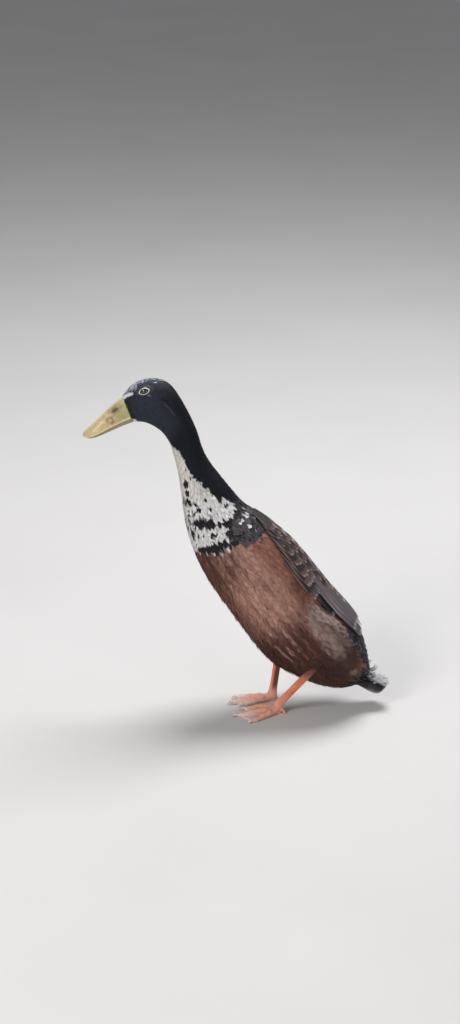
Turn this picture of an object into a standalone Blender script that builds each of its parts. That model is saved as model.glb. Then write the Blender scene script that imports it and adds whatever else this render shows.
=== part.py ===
"""A life-size Indian runner drake, standing on both feet and leaning forward as it walks.

The bird faces -X, its left side is at -Y and +Z is up. The floor under its feet is Z = 0.
The places below are in millimetres. The finished bird is moved in X and Y at the end, so that
the origin lies under the middle of its box.
"""

import math
import random

import bmesh
import bpy
from mathutils import Matrix, Vector

MM = 0.001
GAP = 0.3
LEFT, RIGHT = -1, 1
SEED = 41
BLOCK_SIZE = 800.0

# Side view of the body, from the bill's root to the root of the tail. Each section is a flat
# ring: where it meets the front or belly line, where it meets the back line, both as (x, z),
# half its width, and how much narrower it is at the back than at the belly.
BODY_SECTIONS = (
    ("face", (-130.5, 396.5), (-143.5, 430.5), 12.0, 0.05),
    ("brow", (-117.0, 396.0), (-126.5, 446.5), 17.5, 0.10),
    ("crown", (-105.5, 391.5), (-106.5, 453.5), 20.5, 0.12),
    ("occiput", (-94.0, 382.5), (-84.0, 446.0), 20.5, 0.06),
    ("nape", (-85.5, 370.0), (-66.0, 420.0), 19.5, 0.0),
    ("upper neck", (-79.5, 352.0), (-50.5, 387.5), 18.5, 0.0),
    ("mid neck", (-74.0, 327.0), (-38.0, 351.0), 19.0, 0.0),
    ("low neck", (-69.5, 293.0), (-15.0, 317.0), 26.0, 0.0),
    ("collar", (-65.5, 262.0), (8.0, 288.0), 34.0, 0.0),
    ("shoulder", (-57.0, 229.0), (29.0, 269.0), 43.0, 0.03),
    ("breast", (-43.5, 196.0), (49.0, 251.0), 50.0, 0.03),
    ("chest", (-24.0, 163.0), (72.0, 229.5), 54.0, 0.02),
    ("ribs", (-3.0, 132.0), (95.5, 200.5), 56.0, 0.0),
    ("waist", (17.0, 103.0), (118.0, 171.0), 56.5, -0.03),
    ("flank", (34.0, 79.5), (135.0, 149.5), 55.5, -0.10),
    ("loin", (52.0, 61.0), (149.5, 131.0), 53.0, -0.20),
    ("hip", (71.0, 49.5), (160.5, 113.5), 49.0, -0.28),
    ("vent", (91.5, 38.5), (167.5, 98.5), 43.5, -0.28),
    ("rump", (112.0, 31.0), (172.0, 84.0), 36.5, -0.20),
    ("tail root", (131.0, 27.0), (175.0, 71.0), 29.0, -0.10),
    ("tail base", (147.0, 27.5), (177.0, 59.5), 21.5, 0.0),
    ("tail end", (160.0, 31.0), (178.0, 49.5), 13.0, 0.0),
)
SECTION = {row[0]: place for place, row in enumerate(BODY_SECTIONS)}
BODY_SIDES = 24
RINGS_PER_SECTION = 2
BLUNT = 2.15

# Where the body is parted, as section places.
HEAD_END = 3.5
NECK_SPLIT = 6.0
NECK_END = 8.5
TORSO_END = 18.5

# The bill, from the face to the tip: mouth edge (x, z), ridge (x, z), half width.
BILL_SECTIONS = (
    ((-133.0, 403.0), (-142.9, 429.0), 10.6),
    ((-146.0, 397.0), (-154.0, 421.0), 10.2),
    ((-160.0, 390.2), (-168.5, 407.0), 10.6),
    ((-173.0, 383.6), (-181.0, 394.5), 11.9),
    ((-183.0, 379.0), (-189.5, 386.8), 11.6),
    ((-190.5, 376.8), (-194.2, 381.4), 8.0),
    ((-194.5, 376.4), (-196.0, 378.6), 3.6),
)
LOWER_BILL_DEPTHS = (7.0, 6.2, 5.6, 5.0, 4.2, 3.2)
LOWER_BILL_INSET = 1.3
BILL_ARC_STEPS = 10
NAIL_PLACE = (-191.5, 0.0, 380.4)
NAIL_HALF_SIZES = (5.2, 4.2, 2.6)
NOSTRIL_PLACE = (-155.0, 6.6, 412.8)
NOSTRIL_HALF_SIZES = (4.6, 2.4, 1.7)
BILL_PITCH = math.radians(34.0)

EYE_PLACE = (-115.0, 12.4, 440.2)
EYE_RADIUS = 6.4
SOCKET_RADIUS = EYE_RADIUS + GAP
LID_RING_RADIUS = 5.4
LID_THICKNESS = 1.15
LID_LENGTHEN = 1.16
LID_NARROW = 0.88
LID_OUTSET = 3.6
EYE_OUTWARD = (-0.16, 0.96, 0.20)

# Each leg: hip inside the torso, hock and ankle as (x, y, z), with y outward from the middle,
# and the foot's heading, in degrees turned outwards from straight ahead.
LEGS = {
    "left": ((88.0, 38.0, 116.0), (106.5, 42.5, 74.0), (57.0, 28.0, 11.8), 14.0),
    "right": ((84.0, 35.0, 112.0), (60.0, 32.0, 70.0), (50.0, 14.0, 8.6), -15.0),
}
THIGH_TOP_HALF = (20.0, 15.0)
THIGH_END_HALF = (8.6, 6.6)
SHANK_HALF = ((6.8, 5.0), (5.6, 3.7), (5.0, 3.3), (5.0, 3.4), (5.8, 4.6))
SHANK_PLACES = (0.0, 0.16, 0.45, 0.78, 1.0)
THIGH_SHARE = 0.93
LEG_SIDES = 12

# Toes: length to the root of the claw, turn from the foot's heading (outwards is positive).
TOES = {"inner": (44.0, -22.0), "middle": (55.0, 0.0), "outer": (47.0, 29.0)}
RIGHT_TOE_TURN = 0.62
TOE_ROOT_RADIUS = 3.9
TOE_TIP_RADIUS = 2.3
TOE_SIDES = 8
TOE_JOINTS = (0.36, 0.64, 0.88)
TOE_STATIONS = (0.0, 0.14, 0.28, 0.36, 0.5, 0.64, 0.76, 0.88, 1.0)
CLAW_LENGTH = 7.0
HIND_TOE_LENGTH = 13.0
HIND_TOE_RADII = (2.7, 2.6, 2.0, 1.2)
PAD_HALF = (6.0, 4.6)
WEB_THICKNESS = 1.7
WEB_REACH = 0.94
WEB_SCALLOP = 0.13
WEB_STEPS = 5
SOLE_SINK = 0.5

FEATHER_THICKNESS = 0.6
FEATHER_CROWN = 0.45

# Tiers of the folded wing, from the skin outwards. Each tier: how many feathers, the root and
# the tip of its first and of its last feather as (section place, degrees from the back line),
# half width, and the height of root and tip over the torso.
WING_TIERS = (
    ("primary", 5, (12.2, 22.0), (16.1, 6.0), (12.0, 37.0), (15.6, 20.0), 6.2, 1.2, 2.6),
    ("secondary", 5, (11.4, 18.0), (14.7, 20.0), (11.2, 37.0), (14.6, 39.0), 7.4, 1.3, 3.4),
    ("tertial", 4, (10.8, 7.0), (15.2, 6.5), (11.2, 27.0), (15.3, 24.0), 8.4, 2.4, 4.8),
    ("greater covert", 6, (10.3, 10.0), (12.6, 11.0), (10.5, 35.0), (12.7, 40.0), 7.0, 1.6, 5.2),
    ("median covert", 6, (9.6, 9.0), (11.5, 10.0), (9.7, 33.0), (11.6, 38.0), 7.0, 1.6, 5.6),
    ("lesser covert", 6, (8.96, 8.3), (10.6, 8.8), (9.05, 30.5), (10.6, 35.5), 7.0, 1.2, 5.2),
    ("scapular", 6, (8.88, 6.6), (10.4, 6.4), (12.4, 6.7), (14.0, 9.0), 8.0, 3.2, 7.0),
)
WING_CORE_PLACES = (8.72, 14.0)
WING_CORE_ANGLES = (2.5, 38.0)
WING_CORE_HEIGHT = 3.6
WING_CORE_SINK = 1.6
WING_CORE_STEPS = (8, 5)

# The tail fan: feathers a side, their length, half width, and the spread of the outermost.
TAIL_FEATHERS_A_SIDE = 6
TAIL_ROOT = (158.0, 45.0)
TAIL_LENGTH = 48.0
TAIL_HALF_WIDTH = 6.2
TAIL_SPREAD = math.radians(27.0)
TAIL_DROP = math.radians(21.0)
TAIL_ARCH = 2.6
TAIL_STACK = 0.9
COVERTS_A_SIDE = 3
COVERT_LENGTH = 30.0
COVERT_HALF_WIDTH = 6.4
CURL_START = (168.0, 52.0)
CURL_HEADING = math.radians(-7.0)
CURL_REACH = 14.0
CURL_RADIUS = 7.0
CURL_TURN = math.radians(275.0)
CURL_HALF_WIDTH = 2.6
CURL_STEPS = 9


def clear_scene():
    for old in list(bpy.data.objects):
        bpy.data.objects.remove(old)


def new_material(name, colour, roughness, metallic=0.0):
    made = bpy.data.materials.new(name)
    made.use_nodes = True
    shader = made.node_tree.nodes["Principled BSDF"]
    shader.inputs["Base Color"].default_value = (*colour, 1.0)
    shader.inputs["Roughness"].default_value = roughness
    shader.inputs["Metallic"].default_value = metallic
    return made


def make_materials():
    return {
        "dark feather": new_material("dark feather", (0.016, 0.020, 0.026), 0.45),
        "mottled feather": new_material("mottled feather", (0.36, 0.34, 0.31), 0.7),
        "chestnut feather": new_material("chestnut feather", (0.20, 0.085, 0.045), 0.75),
        "wing feather": new_material("wing feather", (0.12, 0.10, 0.095), 0.6),
        "tail feather": new_material("tail feather", (0.25, 0.24, 0.23), 0.6),
        "bill": new_material("bill", (0.62, 0.50, 0.14), 0.4),
        "leg": new_material("leg", (0.75, 0.22, 0.07), 0.45),
        "eye": new_material("eye", (0.012, 0.009, 0.008), 0.08),
    }


def spline_value(rows, place):
    """A row of numbers between the given rows, on a smooth curve through them."""
    last = len(rows) - 1
    index = min(int(max(place, 0.0)), last - 1)
    share = place - index
    p1, p2 = rows[index], rows[index + 1]
    p0 = rows[index - 1] if index > 0 else [2 * a - b for a, b in zip(p1, p2)]
    p3 = rows[index + 2] if index + 2 <= last else [2 * b - a for a, b in zip(p1, p2)]
    found = []
    for a, b, c, d in zip(p0, p1, p2, p3):
        found.append(
            b
            + 0.5 * share * (c - a)
            + share**2 * (a - 2.5 * b + 2.0 * c - 0.5 * d)
            + share**3 * (1.5 * b - 0.5 * a - 1.5 * c + 0.5 * d)
        )
    return found


BODY_ROWS = [(*front, *back, half, egg) for _, front, back, half, egg in BODY_SECTIONS]


def body_ring_frame(place):
    """Centre, direction to the back, half depth, half width and egg shape of a section."""
    fx, fz, bx, bz, half, egg = spline_value(BODY_ROWS, place)
    front, back = Vector((fx, 0.0, fz)), Vector((bx, 0.0, bz))
    across = back - front
    return (front + back) / 2, across.normalized(), across.length / 2, half, egg


def body_point(place, angle, side=LEFT, height=0.0):
    """A point of the body's surface, at an angle from the back line, lifted by height."""
    centre, to_back, deep, half, egg = body_ring_frame(place)
    c, s = math.cos(angle), math.sin(angle)
    power = 2.0 / BLUNT
    up = math.copysign(abs(c) ** power, c) * deep
    out = math.copysign(abs(s) ** power, s) * half * (1.0 - egg * c)
    found = centre + to_back * up + Vector((0.0, side * out, 0.0))
    if height:
        found = found + body_normal(place, angle, side) * height
    return found


def body_normal(place, angle, side=LEFT):
    step = 0.02
    along = body_point(place + step, angle, side) - body_point(place - step, angle, side)
    round_it = body_point(place, angle + step, side) - body_point(place, angle - step, side)
    normal = along.cross(round_it).normalized()
    outward = body_point(place, angle, side) - body_ring_frame(place)[0]
    return normal if normal.dot(outward) > 0 else -normal


def body_ring(place, height=0.0, shift=0.0):
    """The points of one section, the whole ring moved by shift towards the tail."""
    ahead = body_ring_frame(place + 0.05)[0] - body_ring_frame(place - 0.05)[0]
    plane_normal = body_ring_frame(place)[1].cross(Vector((0.0, 1.0, 0.0)))
    if plane_normal.dot(ahead) < 0:
        plane_normal.negate()
    ring = []
    for i in range(BODY_SIDES):
        angle = 2 * math.pi * i / BODY_SIDES
        ring.append(body_point(place, angle, LEFT, height) + plane_normal.normalized() * shift)
    return ring


def add_loft(bm, rings):
    """Joins rings of equal count into one closed skin. A ring of one point is a tip."""
    rows = [[bm.verts.new(point) for point in ring] for ring in rings]
    for near, far in zip(rows, rows[1:]):
        count = max(len(near), len(far))
        for i in range(count):
            j = (i + 1) % count
            if len(near) == 1:
                bm.faces.new((near[0], far[j], far[i]))
            elif len(far) == 1:
                bm.faces.new((near[i], near[j], far[0]))
            else:
                bm.faces.new((near[i], near[j], far[j], far[i]))
    for end in (rows[0], rows[-1]):
        if len(end) > 2:
            bm.faces.new(end)
    bmesh.ops.recalc_face_normals(bm, faces=bm.faces)


def object_of(bm, name, material=None):
    """A mesh object in the model's collection, with millimetres turned into metres."""
    bmesh.ops.scale(bm, vec=(MM, MM, MM), verts=bm.verts)
    mesh = bpy.data.meshes.new(name)
    bm.to_mesh(mesh)
    bm.free()
    made = bpy.data.objects.new(name, mesh)
    bpy.data.collections["Indian runner drake"].objects.link(made)
    if material:
        mesh.materials.append(material)
    return made


def loft_object(name, rings, material=None):
    bm = bmesh.new()
    add_loft(bm, rings)
    return object_of(bm, name, material)


def ball_object(name, place, half_sizes, turn=None, segments=12, rings=8):
    """An ellipsoid with its middle at place."""
    bm = bmesh.new()
    bmesh.ops.create_uvsphere(bm, u_segments=segments, v_segments=rings, radius=1.0)
    matrix = Matrix.Translation(place) @ (turn or Matrix.Identity(4))
    matrix = matrix @ Matrix.Diagonal((*half_sizes, 1.0))
    bmesh.ops.transform(bm, matrix=matrix, verts=bm.verts)
    return object_of(bm, name)


def apply_modifiers(piece):
    graph = bpy.context.evaluated_depsgraph_get()
    graph.update()
    done = bpy.data.meshes.new_from_object(piece.evaluated_get(graph))
    piece.modifiers.clear()
    old = piece.data
    piece.data = done
    bpy.data.meshes.remove(old)


def combine(base, others, operation):
    """Joins the others to base, or cuts them from it, and removes them."""
    if not others:
        return base
    group = bpy.data.collections.new(base.name + " tools")
    bpy.context.scene.collection.children.link(group)
    for other in others:
        for holder in list(other.users_collection):
            holder.objects.unlink(other)
        group.objects.link(other)
    boolean = base.modifiers.new(operation.lower(), "BOOLEAN")
    boolean.operation = operation
    boolean.operand_type = "COLLECTION"
    boolean.collection = group
    boolean.solver = "MANIFOLD"
    apply_modifiers(base)
    for other in others:
        bpy.data.objects.remove(other)
    bpy.data.collections.remove(group)
    return base


def surface_volume(faces):
    total = 0.0
    for face in faces:
        first = face.verts[0].co
        for a, b in zip(face.verts[1:], face.verts[2:]):
            total += first.dot(a.co.cross(b.co)) / 6.0
    return total


def keep_largest(piece):
    """Keeps only the closed surface with the most volume."""
    bm = bmesh.new()
    bm.from_mesh(piece.data)
    waiting, shells = set(bm.faces), []
    while waiting:
        shell, front = set(), [waiting.pop()]
        while front:
            face = front.pop()
            shell.add(face)
            for edge in face.edges:
                for other in edge.link_faces:
                    if other in waiting:
                        waiting.discard(other)
                        front.append(other)
        shells.append(shell)
    largest = max(shells, key=surface_volume)
    loose = [face for shell in shells if shell is not largest for face in shell]
    bmesh.ops.delete(bm, geom=loose, context="FACES")
    bm.to_mesh(piece.data)
    bm.free()
    return piece


def plane_cut(piece, place, outward):
    """Cuts away what lies beyond a plane, with a large block."""
    bm = bmesh.new()
    bmesh.ops.create_cube(bm, size=BLOCK_SIZE)
    middle = Vector(place) + Vector(outward) * (BLOCK_SIZE / 2)
    bmesh.ops.translate(bm, verts=bm.verts, vec=middle)
    return combine(piece, [object_of(bm, piece.name + " block")], "DIFFERENCE")


def shade(piece, material, sharp_angle=38.0):
    piece.data.materials.clear()
    piece.data.materials.append(material)
    piece.data.shade_smooth()
    piece.data.set_sharp_from_angle(angle=math.radians(sharp_angle))
    return piece


def body_places(start, end):
    """Section places from start to end, with a fixed number of rings in each section."""
    steps = range(int(start * RINGS_PER_SECTION) + 1, math.ceil(end * RINGS_PER_SECTION))
    return [i / RINGS_PER_SECTION for i in steps]


def body_length(name, start, end, material, first_shift=0.0):
    """A length of the body between two flat sections."""
    rings = [body_ring(start, shift=first_shift)]
    rings += [body_ring(place) for place in body_places(start, end)]
    rings.append(body_ring(end))
    return loft_object(name, rings, material)


def torso_cutter():
    """The torso grown by the gap, which cuts whatever lies on it."""
    rings = [body_ring(NECK_END - 1.0, GAP, -GAP)]
    rings += [body_ring(place, GAP) for place in body_places(NECK_END - 1.0, TORSO_END + 1.0)]
    rings.append(body_ring(TORSO_END + 1.0, GAP, GAP))
    return loft_object("torso cutter", rings)


def eye_frame(side):
    """Middle of the eyeball, and a turn that takes +Z to where the eye looks."""
    x, y, z = EYE_PLACE
    dx, dy, dz = EYE_OUTWARD
    outward = Vector((dx, side * dy, dz)).normalized()
    turn = outward.to_track_quat("Z", "X").to_matrix().to_4x4()
    return Vector((x, side * y, z)), outward, turn


def lid_ring(name, side):
    """The raised rim of the eyelids: a torus, longer than it is high."""
    middle, outward, _ = eye_frame(side)
    ahead = Vector((-math.cos(BILL_PITCH / 2), 0.0, -math.sin(BILL_PITCH / 2)))
    length_axis = (ahead - outward * ahead.dot(outward)).normalized()
    height_axis = outward.cross(length_axis)
    ring_count, tube_count = 18, 6
    rings = []
    for i in range(ring_count):
        turn = 2 * math.pi * i / ring_count
        spoke = length_axis * (math.cos(turn) * LID_LENGTHEN)
        spoke = spoke + height_axis * (math.sin(turn) * LID_NARROW)
        tube = []
        for j in range(tube_count):
            roll = 2 * math.pi * j / tube_count
            reach = LID_RING_RADIUS + LID_THICKNESS * math.cos(roll)
            rise = LID_OUTSET + LID_THICKNESS * math.sin(roll)
            tube.append(middle + spoke * reach + outward * rise)
        rings.append(tube)
    bm = bmesh.new()
    rows = [[bm.verts.new(point) for point in tube] for tube in rings]
    for near, far in zip(rows, rows[1:] + rows[:1]):
        for i in range(tube_count):
            j = (i + 1) % tube_count
            bm.faces.new((near[i], near[j], far[j], far[i]))
    bmesh.ops.recalc_face_normals(bm, faces=bm.faces)
    return object_of(bm, name)


def make_head(materials):
    head = body_length("head", 0.0, HEAD_END, None)
    lids = [lid_ring(f"lid {side}", side) for side in (LEFT, RIGHT)]
    combine(head, lids, "UNION")
    sockets = []
    for side in (LEFT, RIGHT):
        middle, _, turn = eye_frame(side)
        size = (SOCKET_RADIUS,) * 3
        sockets.append(ball_object(f"socket {side}", middle, size, turn, 16, 12))
    combine(head, sockets, "DIFFERENCE")
    return shade(keep_largest(head), materials["dark feather"])


def make_eyes(materials):
    for name, side in (("eye_left", LEFT), ("eye_right", RIGHT)):
        middle, _, turn = eye_frame(side)
        eye = ball_object(name, middle, (EYE_RADIUS,) * 3, turn, 14, 10)
        shade(eye, materials["eye"], 180.0)


def bill_ring(place, lower_depth=None):
    """A section of the upper bill, or of the lower one where its depth is given."""
    rows = [(*edge, *ridge, half) for edge, ridge, half in BILL_SECTIONS]
    ex, ez, rx, rz, half = spline_value(rows, place)
    edge, ridge = Vector((ex, 0.0, ez)), Vector((rx, 0.0, rz))
    rise = ridge - edge
    ring = []
    for i in range(BILL_ARC_STEPS + 1):
        turn = math.pi * i / BILL_ARC_STEPS
        out = half * math.copysign(abs(math.cos(turn)) ** 0.85, math.cos(turn))
        if lower_depth is None:
            ring.append(edge + rise * math.sin(turn) ** 1.15 + Vector((0.0, out, 0.0)))
        else:
            narrow = max(half - LOWER_BILL_INSET, 1.5) / half
            down = rise.normalized() * -(GAP + lower_depth * math.sin(turn) ** 0.7)
            ring.append(edge + down + Vector((0.0, out * narrow, 0.0)))
    return ring


def make_bill(materials):
    last = len(BILL_SECTIONS) - 1
    face_normal = Vector((-0.93, 0.0, -0.36))
    base = [point + face_normal * GAP for point in bill_ring(0.0)]
    rings = [base] + [bill_ring(i / 2) for i in range(1, 2 * last + 1)]
    upper = loft_object("bill_upper", rings)
    tilt = Matrix.Rotation(-BILL_PITCH, 4, "Y")
    nail = ball_object("nail", NAIL_PLACE, NAIL_HALF_SIZES, tilt)
    combine(upper, [nail], "UNION")
    pits = []
    for side in (LEFT, RIGHT):
        x, y, z = NOSTRIL_PLACE
        pits.append(ball_object(f"pit {side}", (x, side * y, z), NOSTRIL_HALF_SIZES, tilt, 10, 6))
    combine(upper, pits, "DIFFERENCE")
    shade(keep_largest(upper), materials["bill"])
    depth_rows = [(depth,) for depth in LOWER_BILL_DEPTHS]
    lower_rings = []
    for i in range(2 * len(LOWER_BILL_DEPTHS) - 1):
        depth = spline_value(depth_rows, i / 2)[0]
        lower_rings.append(bill_ring(i / 2, depth))
    lower_rings[0] = [point + face_normal * GAP for point in lower_rings[0]]
    lower = loft_object("bill_lower", lower_rings)
    shade(lower, materials["bill"])


def feather(name, line, sides, half_widths, thickness=FEATHER_THICKNESS, crown=FEATHER_CROWN):
    """One vane along a line of points. sides holds (sideways, upwards) at each point."""
    rings = []
    for point, (sideways, upwards), half in zip(line, sides, half_widths):
        left, right = point - sideways * half, point + sideways * half
        down = upwards * -thickness
        rings.append([left, point + upwards * crown, right, right + down, left + down])
    return loft_object(name, rings)


FEATHER_STATIONS = (0.0, 0.35, 0.72, 0.92, 1.0)
FEATHER_SHAPE = (0.55, 0.95, 1.0, 0.66, 0.16)


def laid_feather(name, root, tip, half_width, root_height, tip_height, side):
    """A feather that lies along the torso, from a root to a tip in section places and angles."""
    line, sides = [], []
    for share in FEATHER_STATIONS:
        place = root[0] + (tip[0] - root[0]) * share
        angle = math.radians(root[1] + (tip[1] - root[1]) * share)
        height = root_height + (tip_height - root_height) * share
        upwards = body_normal(place, angle, side)
        line.append(body_point(place, angle, side, height))
        sides.append(upwards)
    framed = []
    for i, upwards in enumerate(sides):
        ahead = line[min(i + 1, len(line) - 1)] - line[max(i - 1, 0)]
        framed.append((ahead.cross(upwards).normalized(), upwards))
    return feather(name, line, framed, [half_width * share for share in FEATHER_SHAPE])


def mix(first, last, share):
    return tuple(a + (b - a) * share for a, b in zip(first, last))


def wing_core(name, side):
    """The closed patch of wing that the feathers grow from. Its underside is cut by the torso."""
    rows_along, rows_round = WING_CORE_STEPS
    bm = bmesh.new()
    grids = []
    for top in (True, False):
        grid = []
        for i in range(rows_along + 1):
            u = i / rows_along
            row = []
            for j in range(rows_round + 1):
                v = j / rows_round
                place = WING_CORE_PLACES[0] + (WING_CORE_PLACES[1] - WING_CORE_PLACES[0]) * u
                degrees = WING_CORE_ANGLES[0] + (WING_CORE_ANGLES[1] - WING_CORE_ANGLES[0]) * v
                full = (math.sin(math.pi * u) * math.sin(math.pi * v)) ** 0.5 if top else 0.0
                height = full * WING_CORE_HEIGHT + (0.6 if top else -WING_CORE_SINK)
                row.append(bm.verts.new(body_point(place, math.radians(degrees), side, height)))
            grid.append(row)
        grids.append(grid)
        for near, far in zip(grid, grid[1:]):
            for j in range(rows_round):
                bm.faces.new((near[j], near[j + 1], far[j + 1], far[j]))
    over, under = grids
    for i in range(rows_along):
        for j in (0, rows_round):
            bm.faces.new((over[i][j], over[i + 1][j], under[i + 1][j], under[i][j]))
    for j in range(rows_round):
        for i in (0, rows_along):
            bm.faces.new((over[i][j], over[i][j + 1], under[i][j + 1], under[i][j]))
    bmesh.ops.recalc_face_normals(bm, faces=bm.faces)
    return object_of(bm, name)


def make_wing(name, side, materials):
    """The folded wing: tiers of overlapping feathers on a core, resting on the torso."""
    draw = random.Random(SEED + side)
    wing = wing_core(name, side)
    vanes = []
    for tier, count, root_a, tip_a, root_b, tip_b, half, low, high in WING_TIERS:
        for i in range(count):
            share = i / (count - 1)
            root, tip = mix(root_a, root_b, share), mix(tip_a, tip_b, share)
            wide = half * draw.uniform(0.95, 1.05)
            step = 0.35 * (i % 2)
            label = f"{name} {tier} {i}"
            vanes.append(laid_feather(label, root, tip, wide, low, high + step, side))
    combine(wing, vanes, "UNION")
    combine(wing, [torso_cutter()], "DIFFERENCE")
    plane_cut(wing, (0.0, side * GAP / 2, 0.0), (0.0, -side, 0.0))
    return shade(keep_largest(wing), materials["wing feather"])


def straight_feather(name, root, heading, upwards, length, half_width, droop=0.0):
    """A feather of the tail, from a root along a heading, curving down by droop at its tip."""
    line, sides = [], []
    sideways = heading.cross(upwards).normalized()
    for share in FEATHER_STATIONS:
        line.append(root + heading * (length * share) - upwards * (droop * share * share))
        sides.append((sideways, upwards))
    return feather(name, line, sides, [half_width * share for share in FEATHER_SHAPE])


def tail_vanes():
    """The fan, with the middle pair on top, and the coverts above and below it."""
    vanes = []
    root = Vector((TAIL_ROOT[0], 0.0, TAIL_ROOT[1]))
    for side in (LEFT, RIGHT):
        for i in range(TAIL_FEATHERS_A_SIDE):
            share = (i + 0.5) / TAIL_FEATHERS_A_SIDE
            swing = side * TAIL_SPREAD * share
            level = Matrix.Rotation(TAIL_DROP, 3, "Y")
            heading = level @ Vector((math.cos(swing), math.sin(swing), 0.0))
            tilt = side * 0.55 * share
            upwards = level @ Vector((0.0, math.sin(tilt), math.cos(tilt)))
            upwards = (upwards - heading * upwards.dot(heading)).normalized()
            start = root + Vector((0.0, side * 9.0 * share, 0.0))
            start = start - upwards * (TAIL_STACK * i + TAIL_ARCH * share * share)
            length = TAIL_LENGTH * (1.0 - 0.16 * share)
            label = f"tail feather {side} {i}"
            vanes.append(
                straight_feather(label, start, heading, upwards, length, TAIL_HALF_WIDTH, 1.5)
            )
    for over in (1, -1):
        for i in range(-COVERTS_A_SIDE, COVERTS_A_SIDE + 1):
            share = i / COVERTS_A_SIDE
            level = Matrix.Rotation(TAIL_DROP + 0.16 * over, 3, "Y")
            heading = level @ Vector((math.cos(0.5 * share), math.sin(0.5 * share), 0.0))
            upwards = (level @ Vector((0.0, 0.4 * share * over, 1.0))).normalized()
            upwards = (upwards - heading * upwards.dot(heading)).normalized()
            start = root + Vector((4.0, 11.0 * share, 0.0)) + upwards * (over * 5.6 - 0.6)
            start = start - upwards * (over * 2.6 * share * share)
            vanes.append(
                straight_feather(
                    f"covert {over} {i}",
                    start,
                    heading,
                    upwards * over,
                    COVERT_LENGTH * (1.0 - 0.2 * abs(share)),
                    COVERT_HALF_WIDTH,
                    -1.5 if over < 0 else 1.0,
                )
            )
    return vanes


def tail_curl(name, offset, grow):
    """One curled feather of a drake's tail: it leaves along the tail and rolls up and forward."""
    radius = CURL_RADIUS * grow
    start = Vector((CURL_START[0], offset, CURL_START[1]))
    line = [start]
    heading = CURL_HEADING
    foot = start + Vector((math.cos(heading), 0.0, math.sin(heading))) * CURL_REACH * grow
    line.append(foot)
    centre = foot + Vector((-math.sin(heading), 0.0, math.cos(heading))) * radius
    for i in range(1, CURL_STEPS + 1):
        turn = heading - math.pi / 2 + CURL_TURN * i / CURL_STEPS
        tight = radius * (1.0 - 0.28 * i / CURL_STEPS)
        line.append(centre + Vector((math.cos(turn), 0.0, math.sin(turn))) * tight)
    sides, halves = [], []
    for i in range(len(line)):
        ahead = (line[min(i + 1, len(line) - 1)] - line[max(i - 1, 0)]).normalized()
        upwards = Vector((-ahead.z, 0.0, ahead.x))
        sides.append((Vector((0.0, -1.0, 0.0)), upwards))
        halves.append(CURL_HALF_WIDTH * (1.0 - 0.55 * (i / (len(line) - 1)) ** 2))
    return feather(name, line, sides, halves, 0.8, 0.3)


def make_tail(materials):
    tail = body_length("tail", TORSO_END, len(BODY_SECTIONS) - 1.0, None, GAP)
    curls = [tail_curl("curl 1", -3.4, 1.0), tail_curl("curl 2", 3.6, 0.86)]
    combine(tail, tail_vanes() + curls, "UNION")
    return shade(keep_largest(tail), materials["tail feather"])


def limb_ring(centre, axis, half_deep, half_wide, sides):
    """An ellipse round a limb: deep from front to back, wide from side to side."""
    across = Vector((0.0, 1.0, 0.0))
    across = (across - axis * across.dot(axis)).normalized()
    ahead = across.cross(axis).normalized()
    ring = []
    for i in range(sides):
        turn = 2 * math.pi * i / sides
        ring.append(
            centre + ahead * (half_deep * math.cos(turn)) + across * (half_wide * math.sin(turn))
        )
    return ring


def leg_points(which):
    side = LEFT if which == "left" else RIGHT
    hip, hock, ankle, heading = LEGS[which]
    points = [Vector((x, side * y, z)) for x, y, z in (hip, hock, ankle)]
    return side, points, heading


def make_thigh(which, materials):
    """The feathered thigh, cut where it leaves the torso."""
    _, (hip, hock, _), _ = leg_points(which)
    axis = (hock - hip).normalized()
    rings = []
    for share in (0.0, 0.25, 0.5, 0.75, THIGH_SHARE):
        fall = share**1.3
        deep = THIGH_TOP_HALF[0] + (THIGH_END_HALF[0] - THIGH_TOP_HALF[0]) * fall
        wide = THIGH_TOP_HALF[1] + (THIGH_END_HALF[1] - THIGH_TOP_HALF[1]) * fall
        rings.append(limb_ring(hip + (hock - hip) * share, axis, deep, wide, LEG_SIDES + 4))
    thigh = loft_object(f"thigh_{which}", rings)
    combine(thigh, [torso_cutter()], "DIFFERENCE")
    return shade(keep_largest(thigh), materials["chestnut feather"])


def make_leg(which, materials):
    """The bare shank: hock joint, scaled tarsus and ankle, ending face to face with its ends."""
    _, (hip, hock, ankle), _ = leg_points(which)
    down = (ankle - hock).normalized()
    thigh_axis = (hock - hip).normalized()
    top = hip + (hock - hip) * THIGH_SHARE + thigh_axis * GAP
    rings = [limb_ring(top, thigh_axis, 6.4, 4.8, LEG_SIDES)]
    blend = (thigh_axis + down).normalized()
    rings.append(limb_ring(hock, blend, *SHANK_HALF[0], LEG_SIDES))
    for share, (deep, wide) in zip(SHANK_PLACES[1:-1], SHANK_HALF[1:-1]):
        rings.append(limb_ring(hock + (ankle - hock) * share, down, deep, wide, LEG_SIDES))
    end = ankle - down * (4.5 + GAP)
    rings.append(limb_ring(end, down, *SHANK_HALF[-1], LEG_SIDES))
    leg = loft_object(f"leg_{which}", rings)
    combine(leg, [torso_cutter()], "DIFFERENCE")
    return shade(keep_largest(leg), materials["leg"])


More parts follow.
